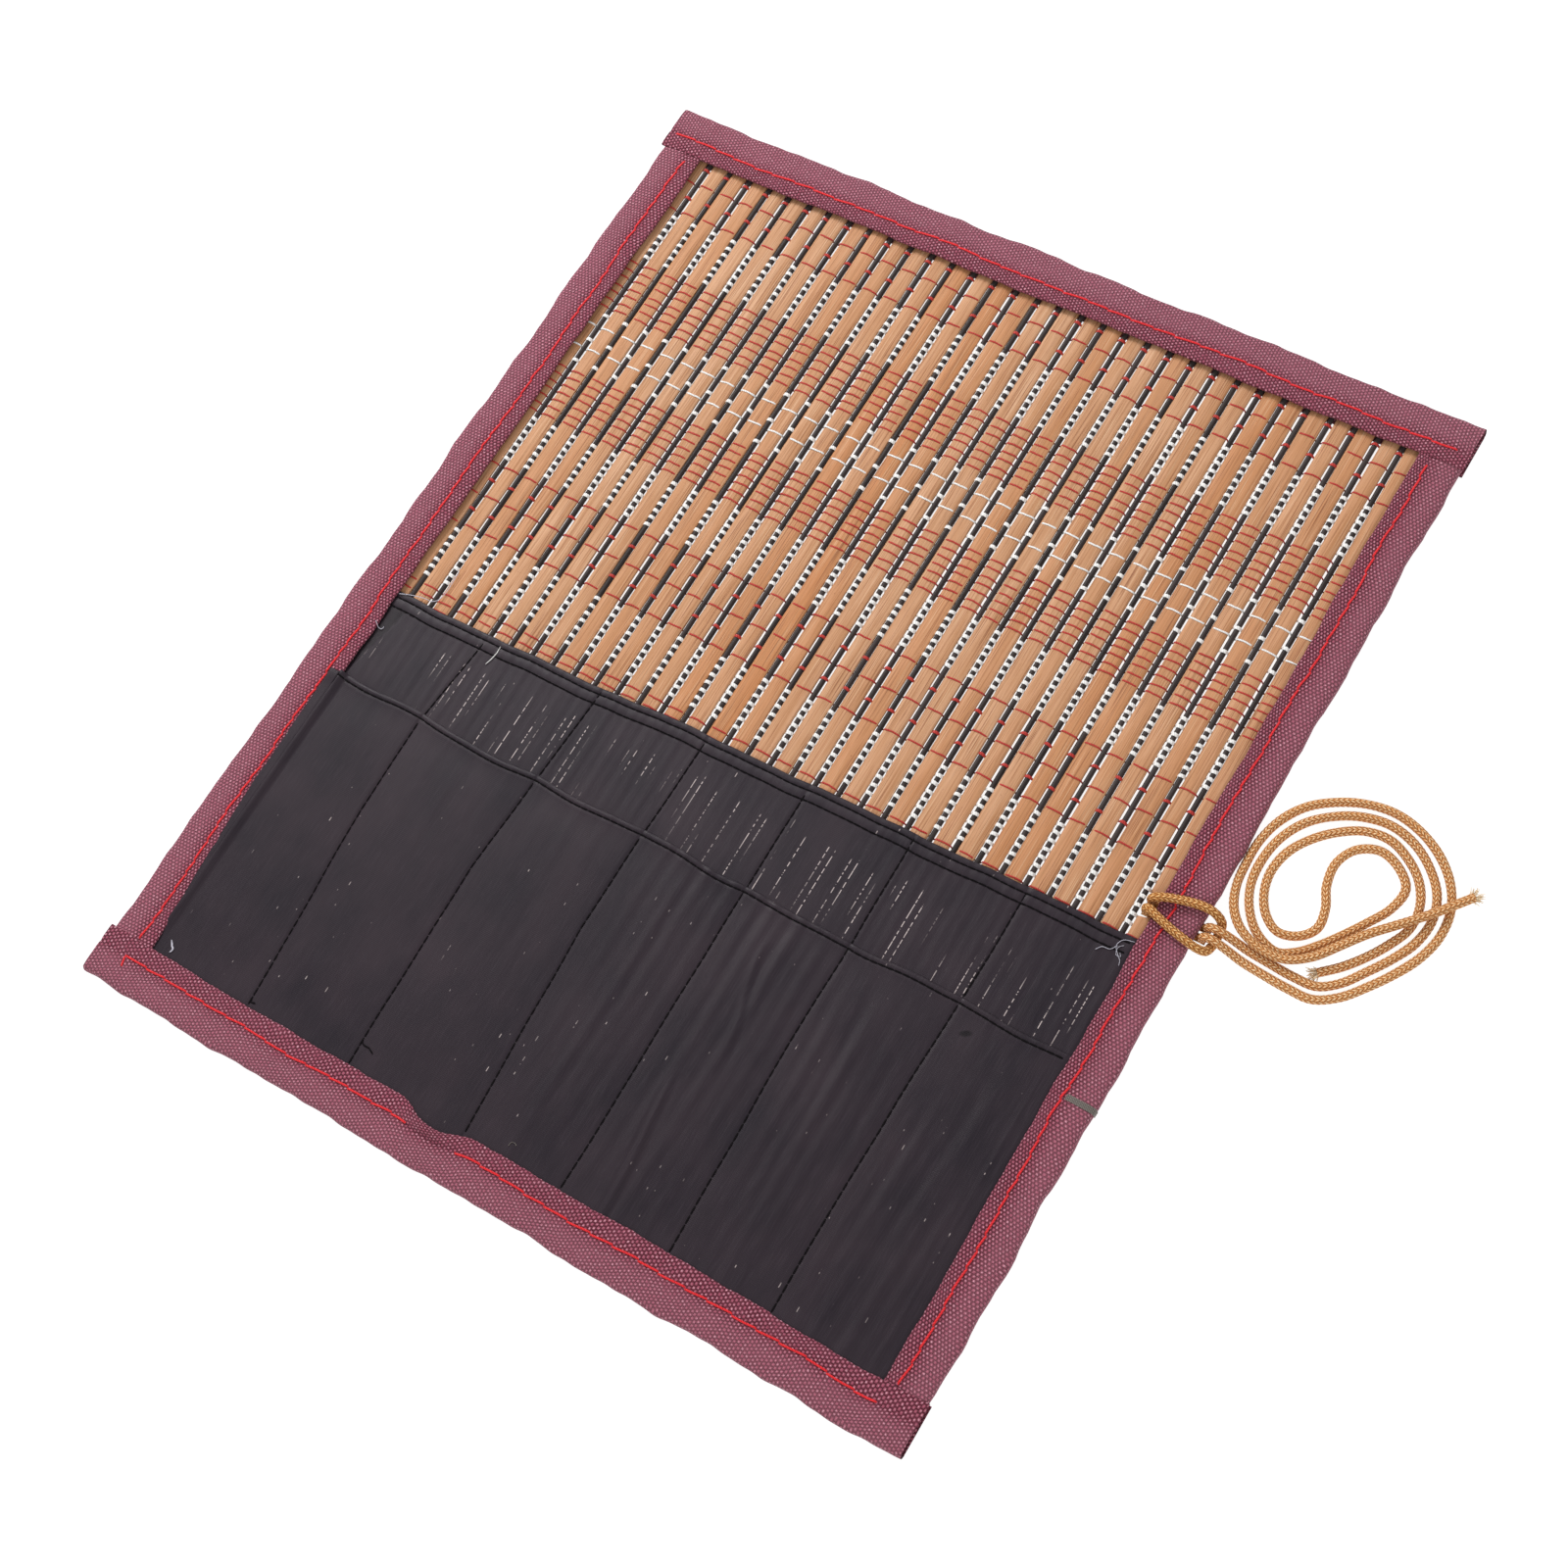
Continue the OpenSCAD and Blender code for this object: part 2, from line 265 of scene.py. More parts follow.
def cloth_material():
    """Thin satin lining. Light comes through it in broken lines where the mat has gaps beside the rods; these
    lines, and sparser specks of light beside the rods, are painted light in its colour.
    """
    k = Mat("pocket_cloth", Specular_IOR_Level=0.16, Sheen_Weight=0.02, Sheen_Roughness=0.35)
    x, y = k.uv()
    weave = ((x * 2 * math.pi / 0.42).sin() * 0.5 + 0.5) * ((y * 2 * math.pi / 0.5).sin() * 0.5 + 0.5)
    tint = k.noise(x * 0.05, y * 0.03, 2.0, 3.0)
    slub = k.noise(x * 3.0, y * 0.12, 5.0, 3.0)
    base = k.mix(tint.step(0.3, 0.7), (0.0190, 0.0142, 0.0200), (0.034, 0.0235, 0.0305))
    base = k.mix(slub.step(0.50, 0.75) * 0.35, base, (0.052, 0.039, 0.050))
    # place counts rods, side says which of a rod's two gaps is nearer, and line is a number for that gap
    place = (x - (FIRST_ROD - PITCH / 2)) / PITCH
    side = place.fract().above(0.5)
    off = ((place.fract() - 0.5).abs() * PITCH - 1.08).abs()
    line = place.floor() * 7.31 + side * 3.17
    picked = k.noise(line, y * 0.022, 3.0, 1.0)
    dash = k.noise(line * 1.7, y * 0.85, 8.0, 1.0)
    speck = k.noise(line * 2.3, y * 0.30, 14.0, 2.0)
    area = k.noise(x * 0.03, y * 0.03, 21.0, 1.0)
    begin = k.noise(line * 1.3, 0.0, 17.0, 1.0) * -16 - y - 24
    thin = k.value("thin")
    # painted light: near-white broken lines beside the rods where only the back cloth lies, and sparser
    # painted specks of light beside the rods everywhere
    upper = picked.step(0.46, 0.54) * dash.step(0.44, 0.50) * area.step(0.36, 0.48)
    upper = upper * thin.max(0.0) * begin.step(0, 1) * 0.85
    lower = speck.step(0.66, 0.70) * area.step(0.42, 0.60) * 0.6
    base = k.mix(off.step(0.17, 0.07) * upper.max(lower), base, (0.66, 0.56, 0.54))
    # thin is below 0 where the cloth is folded under; there it is darkened as painted shade, since the
    # doubled cloth lets no light through
    base = k.mix(thin.step(-0.3, -0.7) * 0.6, base, (0.010, 0.007, 0.009))
    # a small slanting stain near the right-hand pocket's top
    stain_x, stain_y = x - 96.2, y + 60.6
    along = stain_x * 0.87 + stain_y * 0.49
    over = stain_y * 0.87 - stain_x * 0.49
    stain = (along * along * 0.28 + over * over * 1.1).step(1.3, 0.3)
    base = k.mix(stain * 0.75, base, (0.004, 0.003, 0.004))
    k.bump(weave * 0.4 + slub * 0.8, 0.00008, 0.6)
    return k.finish(base, slub * 0.2 + 0.34)


def thread_material(name, dark, light, pitch, shine=0.3, sheen=0.15):
    """Twisted yarn; the second coordinate runs round it, 0 to 1."""
    k = Mat(name, Specular_IOR_Level=shine, Sheen_Weight=sheen)
    u, v = k.uv()
    ply = ((u / pitch + v * 2).fract() * math.pi).sin()
    fuzz = k.noise(u * 2.2, v * 3.0, 1.0, 2.0)
    k.bump(ply, 0.00008, 0.8)
    # painted shade and highlight: the yarn is darker in the twist's grooves and lighter on its ridges, mixed
    # with random fuzz
    return k.finish(k.mix((ply * 0.6 + fuzz * 0.6).step(0.15, 0.8), dark, light), fuzz * 0.2 + 0.5)


# a knitted stitch's length, the columns round the cord, and how far a stitch leans
KNIT_PITCH, KNIT_COLUMNS, KNIT_LEAN = 1.4, 5, 1.5


def cord_material(name, dark, mid, light):
    """Knitted cord: columns of V stitches along it. The second coordinate runs round it, 0 to 1."""
    k = Mat(name, Specular_IOR_Level=0.12)
    s, a = k.uv()
    lean = ((a * KNIT_COLUMNS).fract() - 0.5).abs()
    stitch = (s / KNIT_PITCH + lean * KNIT_LEAN + (a * KNIT_COLUMNS).floor() * 0.5).fract()
    height = (stitch * math.pi).sin().power(0.8)
    height = height * (lean.step(0.5, 0.38) * 0.75 + 0.25) * (lean.step(0.0, 0.10) * 0.6 + 0.4)
    fuzz = k.noise(s * 2.4, a * 12, 3.0, 3.0)
    stain = k.noise(s * 0.05, a * 0.5, 6.0, 2.0)
    # painted shade and highlight: darker between the stitches and lighter on their tops
    base = k.mix((height + fuzz * 0.2).step(0.22, 0.62), dark, mid)
    base = k.mix((height * fuzz).step(0.30, 0.50) * 0.85, base, light)
    base = k.mix(stain.step(0.4, 0.7) * 0.3, base, tuple(c * 0.85 for c in mid))
    k.bump(height, 0.0005, 1.0)
    return k.finish(base, fuzz * 0.15 + 0.55)


BAMBOO = bamboo_material()
ROD = rod_material()
TAPE = tape_material()
CLOTH = cloth_material()
RED = thread_material("red_stitch", (0.42, 0.004, 0.008), (0.83, 0.016, 0.024), 0.9)
BRICK = thread_material("brick_warp", (0.26, 0.012, 0.010), (0.52, 0.036, 0.026), 0.7)
WHITE = thread_material("white_warp", (0.62, 0.60, 0.57), (0.92, 0.91, 0.89), 0.8)
SEAM = thread_material("dark_seam", (0.002, 0.0018, 0.002), (0.008, 0.0065, 0.0075), 0.8, 0.05, 0.0)
LINT = thread_material("lint", (0.35, 0.33, 0.40), (0.62, 0.60, 0.68), 1.5)
GREY = thread_material("grey_thread", (0.045, 0.040, 0.036), (0.19, 0.165, 0.145), 0.8)
CORD = cord_material("cord", (0.26, 0.060, 0.012), (0.84, 0.34, 0.085), (1.0, 0.66, 0.30))
TAIL = cord_material("cord_tail", (0.42, 0.105, 0.024), (0.97, 0.42, 0.13), (1.0, 0.78, 0.48))
FRAY = thread_material("fray", (0.72, 0.48, 0.27), (0.95, 0.76, 0.52), 1.2)


FLOOR_REACH, FLOOR_Z = 6, -0.0006
floor_mesh = bpy.data.meshes.new("floor")
corners = [(x * FLOOR_REACH, y * FLOOR_REACH, FLOOR_Z) for x, y in ((-1, -1), (1, -1), (1, 1), (-1, 1))]
floor_mesh.from_pydata(corners, [], [(0, 1, 2, 3)])
floor = bpy.data.objects.new("floor", floor_mesh)
floor_white = Mat(
    "floor", Roughness=0.9, Specular_IOR_Level=0.1, Base_Color=(0.25, 0.25, 0.25, 1),
    Emission_Color=(1, 1, 1, 1), Emission_Strength=0.9,
)
floor_mesh.materials.append(floor_white.m)
scene.collection.objects.link(floor)

world = bpy.data.worlds.new("world")
scene.world = world
world.use_nodes = True
background = world.node_tree.nodes["Background"]
background.inputs["Color"].default_value = (1, 1, 1, 1)
background.inputs["Strength"].default_value = 0.50


def area_light(name, at, towards, size, power):
    light = bpy.data.objects.new(name, bpy.data.lights.new(name, "AREA"))
    light.data.energy, light.data.size = power, size
    light.location = at
    direction = [b - a for a, b in zip(at, towards)]
    light.rotation_mode = "QUATERNION"
    light.rotation_quaternion = Vector(direction).to_track_quat("-Z", "Y")
    scene.collection.objects.link(light)


area_light("key", (-0.75, 0.55, 0.75), (0, 0, 0), 0.45, 11)
area_light("fill", (0.7, -0.9, 1.0), (0, 0, 0), 0.9, 6)


# ---- mesh making


def join(*parts):
    """Arrays side by side in a new last axis, such as x, y and z as points."""
    return np.stack(parts, -1)


class Shape:
    """Gathers grids of points into one mesh with normals, a coordinate map in mm and point values."""

    def __init__(self):
        self.v, self.n, self.f, self.c, self.m, self.tone, self.thin = [], [], [], [], [], [], []
        self.count = 0

    def tube(self, p, n, uv, mat, tone=0.0, paired=False, thin=0.0):
        """p (rows, columns, 3) closed round its columns, with its ends closed; uv has one column more.
        paired ends join column j to the one facing it, as a folded slab needs."""
        a, b = p.shape[:2]
        i, j = np.meshgrid(np.arange(a - 1), np.arange(b), indexing="ij")
        k = (j + 1) % b
        quads = join(i * b + j, (i + 1) * b + j, (i + 1) * b + k, i * b + k).reshape(-1, 4)
        c = b + 1
        index = join(i * c + j, (i + 1) * c + j, (i + 1) * c + j + 1, i * c + j + 1).reshape(-1, 4)
        if paired:
            j = np.arange(b // 2 - 1)
            end = join(j, j + 1, b - 2 - j, b - 1 - j)
            quads = np.concatenate([quads, end, (end + (a - 1) * b)[:, ::-1]])
            index = np.concatenate([index, end, (end + (a - 1) * c)[:, ::-1]])
        flat = p.reshape(-1, 3)
        q = flat[quads] - flat.mean(0)
        volume = (q[:, 0] * np.cross(q[:, 1], q[:, 2])).sum() + (q[:, 0] * np.cross(q[:, 2], q[:, 3])).sum()
        turn = 1 if volume > 0 else -1
        across = np.cross(q[:, 2] - q[:, 0], q[:, 3] - q[:, 1]) * turn
        if n is None:
            n = np.zeros_like(flat)
            for corner in range(4):
                np.add.at(n, quads[:, corner], across)
        n = n.reshape(-1, 3)
        n = n / np.maximum(np.linalg.norm(n, axis=1, keepdims=True), 1e-12)
        if (n[quads[:, 0]] * across).sum() < 0:
            n = -n
        faces, uvs = quads[:, ::turn].tolist(), index[:, ::turn].tolist()
        if not paired:
            for row in (0, a - 1):
                order = list(range(b))[:: turn if row == 0 else -turn]
                faces.append([row * b + x for x in order])
                uvs.append([row * c + x for x in order])
        self.v.append(flat)
        self.n.append(n)
        self.tone.append(np.full(len(flat), tone))
        self.thin.append(np.broadcast_to(np.asarray(thin, float).reshape(-1), (len(flat),)))
        self.f += [[x + self.count for x in face] for face in faces]
        uv = uv.reshape(-1, 2)
        self.c += [uv[x] for face in uvs for x in face]
        self.m += [mat] * len(faces)
        self.count += len(flat)

    def make(self, name, mats):
        mesh = bpy.data.meshes.new(name)
        v = np.concatenate(self.v) * MM
        mesh.from_pydata(v.tolist(), [], self.f)
        layer = mesh.uv_layers.new(name="mm")
        layer.data.foreach_set("uv", np.asarray(self.c, np.float32).reshape(-1))
        for name_, values in (("tone", self.tone), ("thin", self.thin)):
            attribute = mesh.attributes.new(name_, "FLOAT", "POINT")
            attribute.data.foreach_set("value", np.concatenate(values).astype(np.float32))
        for m in mats:
            mesh.materials.append(m)
        mesh.polygons.foreach_set("material_index", self.m)
        mesh.polygons.foreach_set("use_smooth", [True] * len(self.f))
        mesh.normals_split_custom_set_from_vertices(np.concatenate(self.n).tolist())
        obj = bpy.data.objects.new(name, mesh)
        scene.collection.objects.link(obj)
        return obj


def unit(v):
    return v / np.maximum(np.linalg.norm(v, axis=-1, keepdims=True), 1e-12)


def line_tube(shape, points, radius, mat, sides=6, flat=1.0, wide=1.0, tone=0.0):
    """A round or flattened tube along points.
    radius is one number, one for each point or one for each vertex."""
    p = np.asarray(points, float)
    d = unit(np.gradient(p, axis=0))
    up = np.array([0.0, 0.0, 1.0]) if abs(d[0][2]) < 0.9 else np.array([1.0, 0.0, 0.0])
    side = np.cross(d[0], up)
    frames = []
    for t in d:
        side = unit(side - t * np.dot(side, t))
        frames.append((side, np.cross(side, t)))
    s = np.array([f[0] for f in frames])[:, None]
    w = np.array([f[1] for f in frames])[:, None]
    a = (np.arange(sides) + 0.5) * 2 * math.pi / sides
    r = np.asarray(radius, float)
    relief = r.ndim == 2
    r = r[:, :, None] if relief else np.broadcast_to(r, (len(p),))[:, None, None]
    ca, sa = np.cos(a)[None, :, None], np.sin(a)[None, :, None]
    grid = p[:, None] + r * (s * ca * np.asarray(wide).reshape(-1, 1, 1) + w * sa * flat)
    n = unit(s * ca / np.asarray(wide).reshape(-1, 1, 1) + w * sa / flat)
    length = np.concatenate([[0], np.cumsum(np.linalg.norm(np.diff(p, axis=0), axis=1))])
    uv = np.stack(np.meshgrid(length, np.arange(sides + 1) / sides, indexing="ij"), -1)
    shape.tube(grid, None if relief else n, uv, mat, tone=tone)


def spline(points, step):
    """A smooth line through the points, sampled about every step."""
    p = np.asarray(points, float)
    p = np.concatenate([[2 * p[0] - p[1]], p, [2 * p[-1] - p[-2]]])
    out = []
    for i in range(1, len(p) - 2):
        a, b, c, d = p[i - 1 : i + 3]
        t1, t2, t3 = np.linalg.norm(b - a) ** 0.5, np.linalg.norm(c - b) ** 0.5, np.linalg.norm(d - c) ** 0.5
        m1 = (c - b + t2 * ((b - a) / t1 - (c - a) / (t1 + t2)))
        m2 = (c - b + t2 * ((d - c) / t3 - (d - b) / (t2 + t3)))
        n = max(2, int(math.ceil(np.linalg.norm(c - b) / step)))
        for k in range(n):
            s = k / n
            out.append(
                (2 * s**3 - 3 * s**2 + 1) * b + (s**3 - 2 * s**2 + s) * m1
                + (-2 * s**3 + 3 * s**2) * c + (s**3 - s**2) * m2
            )
    out.append(p[-2])
    return np.array(out)


def run_length(p):
    return float(np.linalg.norm(np.diff(p, axis=0), axis=1).sum())


# ---- cord

CORD_D = 2.6
# the height of the cord's middle where it lies on the table
LAID_Z = 1.35
# the two strands under the edge, and about the middle between them
STRANDS_Y = (-3.9, -7.0)
HITCH_Y = -5.4
CORD_SIDES, CORD_STEP = 20, 0.28


def laid(*points):
    return [(x, y, LAID_Z) for x, y in points]


BIGHT = [
    (121.3, -3.9, 0.4), (121.3, -3.9, 3.6), (122.4, -3.6, 5.3), (125, -2.6, 5.85), (130, -1.1, 5.8),
    (135, -0.2, 5.75), (138.5, -0.2, 4.7), (140.9, -1.2, 2.5), (141.3, -3, 1.4), (141.4, -5.5, 1.35),
    (141.3, -8, 1.4), (140.7, -10.2, 2.5), (138.4, -11.2, 4.7), (135, -10.9, 5.75), (130, -9.8, 5.8),
    (125, -8.3, 5.85), (122.4, -7.3, 5.3), (121.3, -7, 3.6), (121.3, -7, 0.4),
]
LONG = [
    (138.1, -3.9, 0.65), (138.1, -3.9, 2), (139.1, -3.9, 3.45), (141.2, -3.9, 4.1), (145, -4, 3),
    *laid(
        (150, -4.4), (157, -5), (164, -5.4), (170.5, -4.9), (175.5, -1.3), (180, 4.7), (184.2, 11),
        (187.5, 17.8), (188.5, 25.2), (186.5, 32.3), (181.6, 38.3), (175, 42.8), (167.3, 44.8),
        (159.5, 43.6), (152.5, 40.1), (146.7, 34.9), (143, 28), (141.6, 20.4), (142.2, 12.8), (145.3, 6),
        (150.3, 0.9), (157, -1.3), (161.5, 1), (165.6, 5.2), (170, 11), (174, 17), (177.7, 23.5),
        (178.6, 30.2), (174.2, 34.9), (168, 36.9), (162.2, 34.2), (159.3, 28.5), (160, 21.5),
        (162.7, 15.5), (163.3, 9.6), (160, 5.4), (154.6, 3.9), (149.9, 6.6), (146.6, 11.7), (145.2, 18),
        (146.4, 25), (150.2, 31.3), (155.7, 36.6), (162, 40.2), (168.8, 40.9), (175, 38.4), (180.6, 33.8),
        (184, 27.4), (184.4, 20.6), (181.6, 14), (178, 8.2), (173.8, 3), (168.8, -1.6),
    ),
]
SHORT = [
    (138.1, -7, 0.65), (138.1, -7, 2), (139.1, -7, 3.45), (141.2, -7, 4.1), (145, -7.3, 3),
    *laid(
        (150, -7.9), (157, -8.6), (164, -9), (171, -8.7), (177, -4.9), (182, 1), (186.6, 7.6),
        (190.3, 14.6), (192.2, 22.2), (191.5, 30), (188, 37), (182.3, 42.7), (175, 46.7), (167, 48.5),
        (159, 47.5), (151.5, 44.3), (145, 39.4), (140.6, 32.6), (138.5, 25), (138.3, 17.5),
    ),
    (139.2, 10.2, 2), (142, 3.6, 3.45), (146.5, -0.9, 4.1), (153, -3.2, 4.1), (160, -3, 4.1),
    (166, 0.8, 4.1), (171, 7, 4.1), (175.8, 13.2, 4.1), (181.5, 19.2, 4.1), (187.5, 25.6, 4.1),
    (191.5, 30.4, 4.1), (195.3, 35.6, 3),
]


def cord_piece(name, node, points, mat):
    path = spline(points, CORD_STEP)
    shape = Shape()
    s = np.linspace(0, run_length(path), len(path))[:, None]
    # columns of leaning stitches stand up from the surface
    column = (np.arange(CORD_SIDES)[None] + 0.5) / CORD_SIDES * KNIT_COLUMNS
    lean = np.abs(column % 1 - 0.5)
    stitch = (s / KNIT_PITCH + lean * KNIT_LEAN + np.floor(column) * 0.5) % 1
    knit = np.sin(math.pi * stitch) * (1 - 1.2 * lean)
    radius = CORD_D / 2 * (0.93 + 0.09 * knit + 0.03 * wave(s, 2.0, 6.0))
    line_tube(shape, path, radius, 0, sides=CORD_SIDES)
    cord = shape.make(name, [mat])
    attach(cord, "right_edge")
    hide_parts(node)


def fray(name, path, seed, count=64):
    """The fibres of a cut end: thin strands that spread out past the last stitch."""
    rng = np.random.default_rng(seed)
    end, d = path[-1], unit(path[-1] - path[-5])
    side = unit(np.cross(d, [0, 0, 1]))
    up = np.cross(side, d)
    shape = Shape()
    for _ in range(count):
        a, r = rng.uniform(0, 2 * math.pi), rng.uniform(0.1, 1.2)
        out = side * math.cos(a) + up * math.sin(a) * 0.75
        long = rng.uniform(1.0, 3.4)
        spread = rng.uniform(0.2, 1.3)
        root = end + out * r - d * rng.uniform(0.3, 1.2)
        pts = []
        for t in (0, 0.35, 0.7, 1):
            x, y, z = root + d * long * t + out * spread * t * t * 1.6 + side * rng.normal(0, 0.16) * t
            pts.append((x, y, max(z, 0.15)))
        line_tube(shape, pts, [0.17, 0.16, 0.14, 0.07], 0, sides=4)
    obj = shape.make(name, [FRAY])
    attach(obj, "right_edge")
    return obj


long_fray = fray("cord_tail_long_end", spline(LONG, 0.5), 5)
short_fray = fray("cord_tail_short_end", spline(SHORT, 0.5), 6)
cord_piece("cord_tail_long_knit", "cord_tail_long", LONG, TAIL)
cord_piece("cord_tail_short_knit", "cord_tail_short", SHORT, TAIL)

shape = Shape()
for y in STRANDS_Y:
    route = [(120.2, y, 0.36), (124, y, 0.34), (131, y, 0.34), (139.2, y, 0.36)]
    line_tube(shape, route, 1.25, 0, sides=12, flat=0.22)
under = shape.make("cord_under_edge", [CORD])
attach(under, "right_edge")
cord_piece("cord_hitch_knit", "cord_hitch", BIGHT, CORD)


# ---- slats and rods


def smooth_gap(y, seed):
    """The open gap beside a rod, which comes and goes along the slat."""
    return np.clip(0.34 + 0.36 * wave(y, seed, 70) + 0.05 * wave(y, seed + 3, 9), 0.06, 0.62)


# a slat's section: the share of its width, and the height above or below its face
CROWN = [(0, -0.32), (0.04, -0.08), (0.16, 0.10), (0.36, 0.24), (0.5, 0.27),
         (0.64, 0.24), (0.84, 0.10), (0.96, -0.08), (1, -0.32)]
UNDERSIDE = [(0.97, 0.18), (0.88, 0.0), (0.5, 0.0), (0.12, 0.0), (0.03, 0.18)]
# the notch cut for the cord reaches in to here
NOTCH_X = 123.2


def slat_shape(shape, left, right, seed, tone, notch=False):
    """A split strip with an uneven crown between two edges given as functions of y.
    notch leaves room for the cord's hitch at the left edge."""
    ys = np.linspace(-SLAT_END, SLAT_END, 65)
    if notch:
        ys = np.sort(np.concatenate([ys, [-9.4, -8.9, -8.4, -2.6, -2.0, -1.5]]))
    xl, xr = left(ys), right(ys)
    if notch:
        xl = xl + (NOTCH_X - xl) * smooth(-9.4, -8.6, ys) * (1 - smooth(-2.3, -1.5, ys))
    top = 2.02 + 0.05 * wave(ys, seed, 40)
    bottom = 0.92 + 0.05 * wave(ys, seed + 5, 30)
    cols, across = [], []
    for u, dz in CROWN:
        tilt = 0.05 * wave(ys, seed + 9, 60) * (u - 0.5) * 2
        z = top + dz + tilt + 0.03 * wave(ys + u * 37, seed + 2, 7)
        cols.append(join(xl + (xr - xl) * u, ys, z))
        across.append(u * 5)
    for u, dz in UNDERSIDE:
        cols.append(join(xl + (xr - xl) * u, ys, bottom + dz))
        across.append(12 - u * 5)
    p = np.stack(cols, 1)
    across.append(12.6)
    uv = np.stack(np.meshgrid(ys, np.array(across) + seed * 17.3, indexing="ij")[::-1], -1)
    shape.tube(p, None, uv, 0, tone=tone)


def rod_shape(shape, x, seed, tone):
    ys = np.linspace(-SLAT_END, SLAT_END, 33)
    centre = join(x + 0.04 * wave(ys, seed, 45), ys, np.full_like(ys, ROD_Z))
    line_tube(shape, centre, ROD_R * (1 + 0.03 * wave(ys, seed + 1, 12)), 1, sides=12, tone=tone)


def straight(x):
    """A slat's edge hidden inside a side tape."""
    return lambda y: np.full_like(y, x)


def beside(i, side, seed):
    """A slat's edge along rod i: side 1 is the rod's right, -1 its left."""
    return lambda y: rod_x(i) + side * ROD_R + side * smooth_gap(y, seed)


rng = np.random.default_rng(11)
TONES = rng.beta(1.3, 3.2, RODS + 3)
# the slats that stand out as darker
TONES[16], TONES[17], TONES[10], TONES[24] = 0.85, 0.55, 0.5, 0.45
ROD_TONES = rng.uniform(0, 1, RODS + 2)
for i in range(1, SLATS + 1):
    left = beside(i - 1, 1, 2.0 * i) if i > 1 else straight(-125.8)
    right = beside(i, -1, 2.0 * i + 1) if i <= RODS else straight(124.9)
    shape = Shape()
    slat_shape(shape, left, right, float(i), float(TONES[i]), notch=i == SLATS)
    if i <= RODS:
        rod_shape(shape, rod_x(i), float(i) * 1.3, float(ROD_TONES[i]))
    piece = shape.make(f"bamboo_{i:02d}", [BAMBOO, ROD])
    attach(piece, body(i))
    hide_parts(f"slat_{i:02d}")

for name, node, x0, x1, who in (
    ("bamboo_left_edge", "left_edge_slat", -135.0, -126.4, "left_edge"),
    ("bamboo_right_edge", "right_edge_slat", 125.5, 135.0, "right_edge"),
):
    shape = Shape()
    slat_shape(shape, straight(x0), straight(x1), x1, 0.2)
    piece = shape.make(name, [BAMBOO])
    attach(piece, who)
    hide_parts(node)


# ---- warp threads

# each row's distance down from the top edge, for rows that pass over and under the rods
RED_OVER = (17, 28.1)
RED_UNDER = (22.6, 33.6, 56, 59, 61.9, 65.2, 67.8, 70.8, 73.7, 97.9,
             100.6, 103.5, 106.2, 109, 112, 114.8, 136.1)
WHITE_OVER = (36.4, 39.1, 41.8, 44.6, 47.3, 50, 52.8, 76.6, 86.2, 94.3, 117.7,
              120.3, 122.9, 125.4, 128, 130.6, 133.1)
WHITE_UNDER = (80.9, 89.2)
REPEAT = 124.5
# the two yarns' material slots
BRICK_YARN, WHITE_YARN = 0, 1
# from above, the cloths hide the rows below the first of these; none is drawn below the second
HIDDEN_BELOW, NO_ROWS_BELOW = -24, 22 - HALF_L
ROWS = [
    (HALF_L - down - REPEAT * n, over, colour)
    for n in range(3)
    for colour, over, rows in (
        (BRICK_YARN, True, RED_OVER), (BRICK_YARN, False, RED_UNDER),
        (WHITE_YARN, True, WHITE_OVER), (WHITE_YARN, False, WHITE_UNDER),
    )
    for down in rows
    if HALF_L - down - REPEAT * n > NO_ROWS_BELOW
]
YARN_R = 0.14


def mirrored(half):
    return [(-x, z, share) for x, z, share in half[:0:-1]] + half


# a yarn's course past a rod: distance from it, height, and half width before thread() scales it
OVER_ROD = mirrored([(0, 2.47, 0.62), (0.72, 2.16, 0.62), (1.12, 1.45, 0.54), (1.5, 0.85, 0.3),
                     (2.3, 0.72, 0.24), (HALF_PITCH, 0.72, 0.24)])
UNDER_ROD = mirrored([(0, 0.5, 1), (0.95, 0.85, 1), (1.25, 1.75, 1), (1.75, 2.14, 1),
                      (2.7, 2.34, 1), (HALF_PITCH, 2.40, 1)])


def thread(shape, i, y, over_rod, colour):
    """One row of the weave from slat i's middle to the next one's, or up to the notch for the cord."""
    course = OVER_ROD if over_rod else UNDER_ROD
    if i == RODS and abs(y - HITCH_Y) < 2.2:
        course = course[:7]
    white = colour == WHITE_YARN
    full = (1 if white else 0.82) if over_rod else (0.3 if white else 0.28)
    jitter = 0.12 * math.sin(i * 7.3 + y * 3.1)
    skew = 0.35 * math.sin(i * 2.1 + y * 0.7)
    points = []
    for dx, z, share in course:
        t = dx / HALF_PITCH
        points.append((rod_x(i) + dx, y + jitter * (1 - abs(t)) + skew * 0.4 * math.sin(math.pi * t), z))
    wide = np.array([share * full for dx, z, share in course]) / YARN_R
    line_tube(shape, points, YARN_R, colour, sides=4 if y < HIDDEN_BELOW else 6, wide=wide)


def strip_ride(piece, i, reach):
    """Bakes a piece's placement into its mesh; it is not bent at rod i."""
    body(i)
    (rod_x(i) - reach) * MM
    (rod_x(i) + reach) * MM
    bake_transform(piece)


for i in range(1, RODS + 1):
    shape = Shape()
    for y, over, colour in ROWS:
        thread(shape, i, y, over, colour)
    piece = shape.make(f"warp_{i:02d}", [BRICK, WHITE])
    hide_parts("warp_threads_red", "warp_threads_white")
    strip_ride(piece, i, 1.1)

shape = Shape()
for y, over, colour in ROWS:
    if abs(y - HITCH_Y) > 4.5:
        z = 0.72 if over else 2.36
        points = [(slat_x(SLATS), y, z + 0.03), (123.6, y, z), (125.0, y, z - 0.06)]
        line_tube(shape, points, YARN_R, colour, sides=5, wide=1.7)
piece = shape.make(f"warp_{SLATS}", [BRICK, WHITE])
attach(piece, "right_edge")


# ---- folded slabs: tapes and cloths


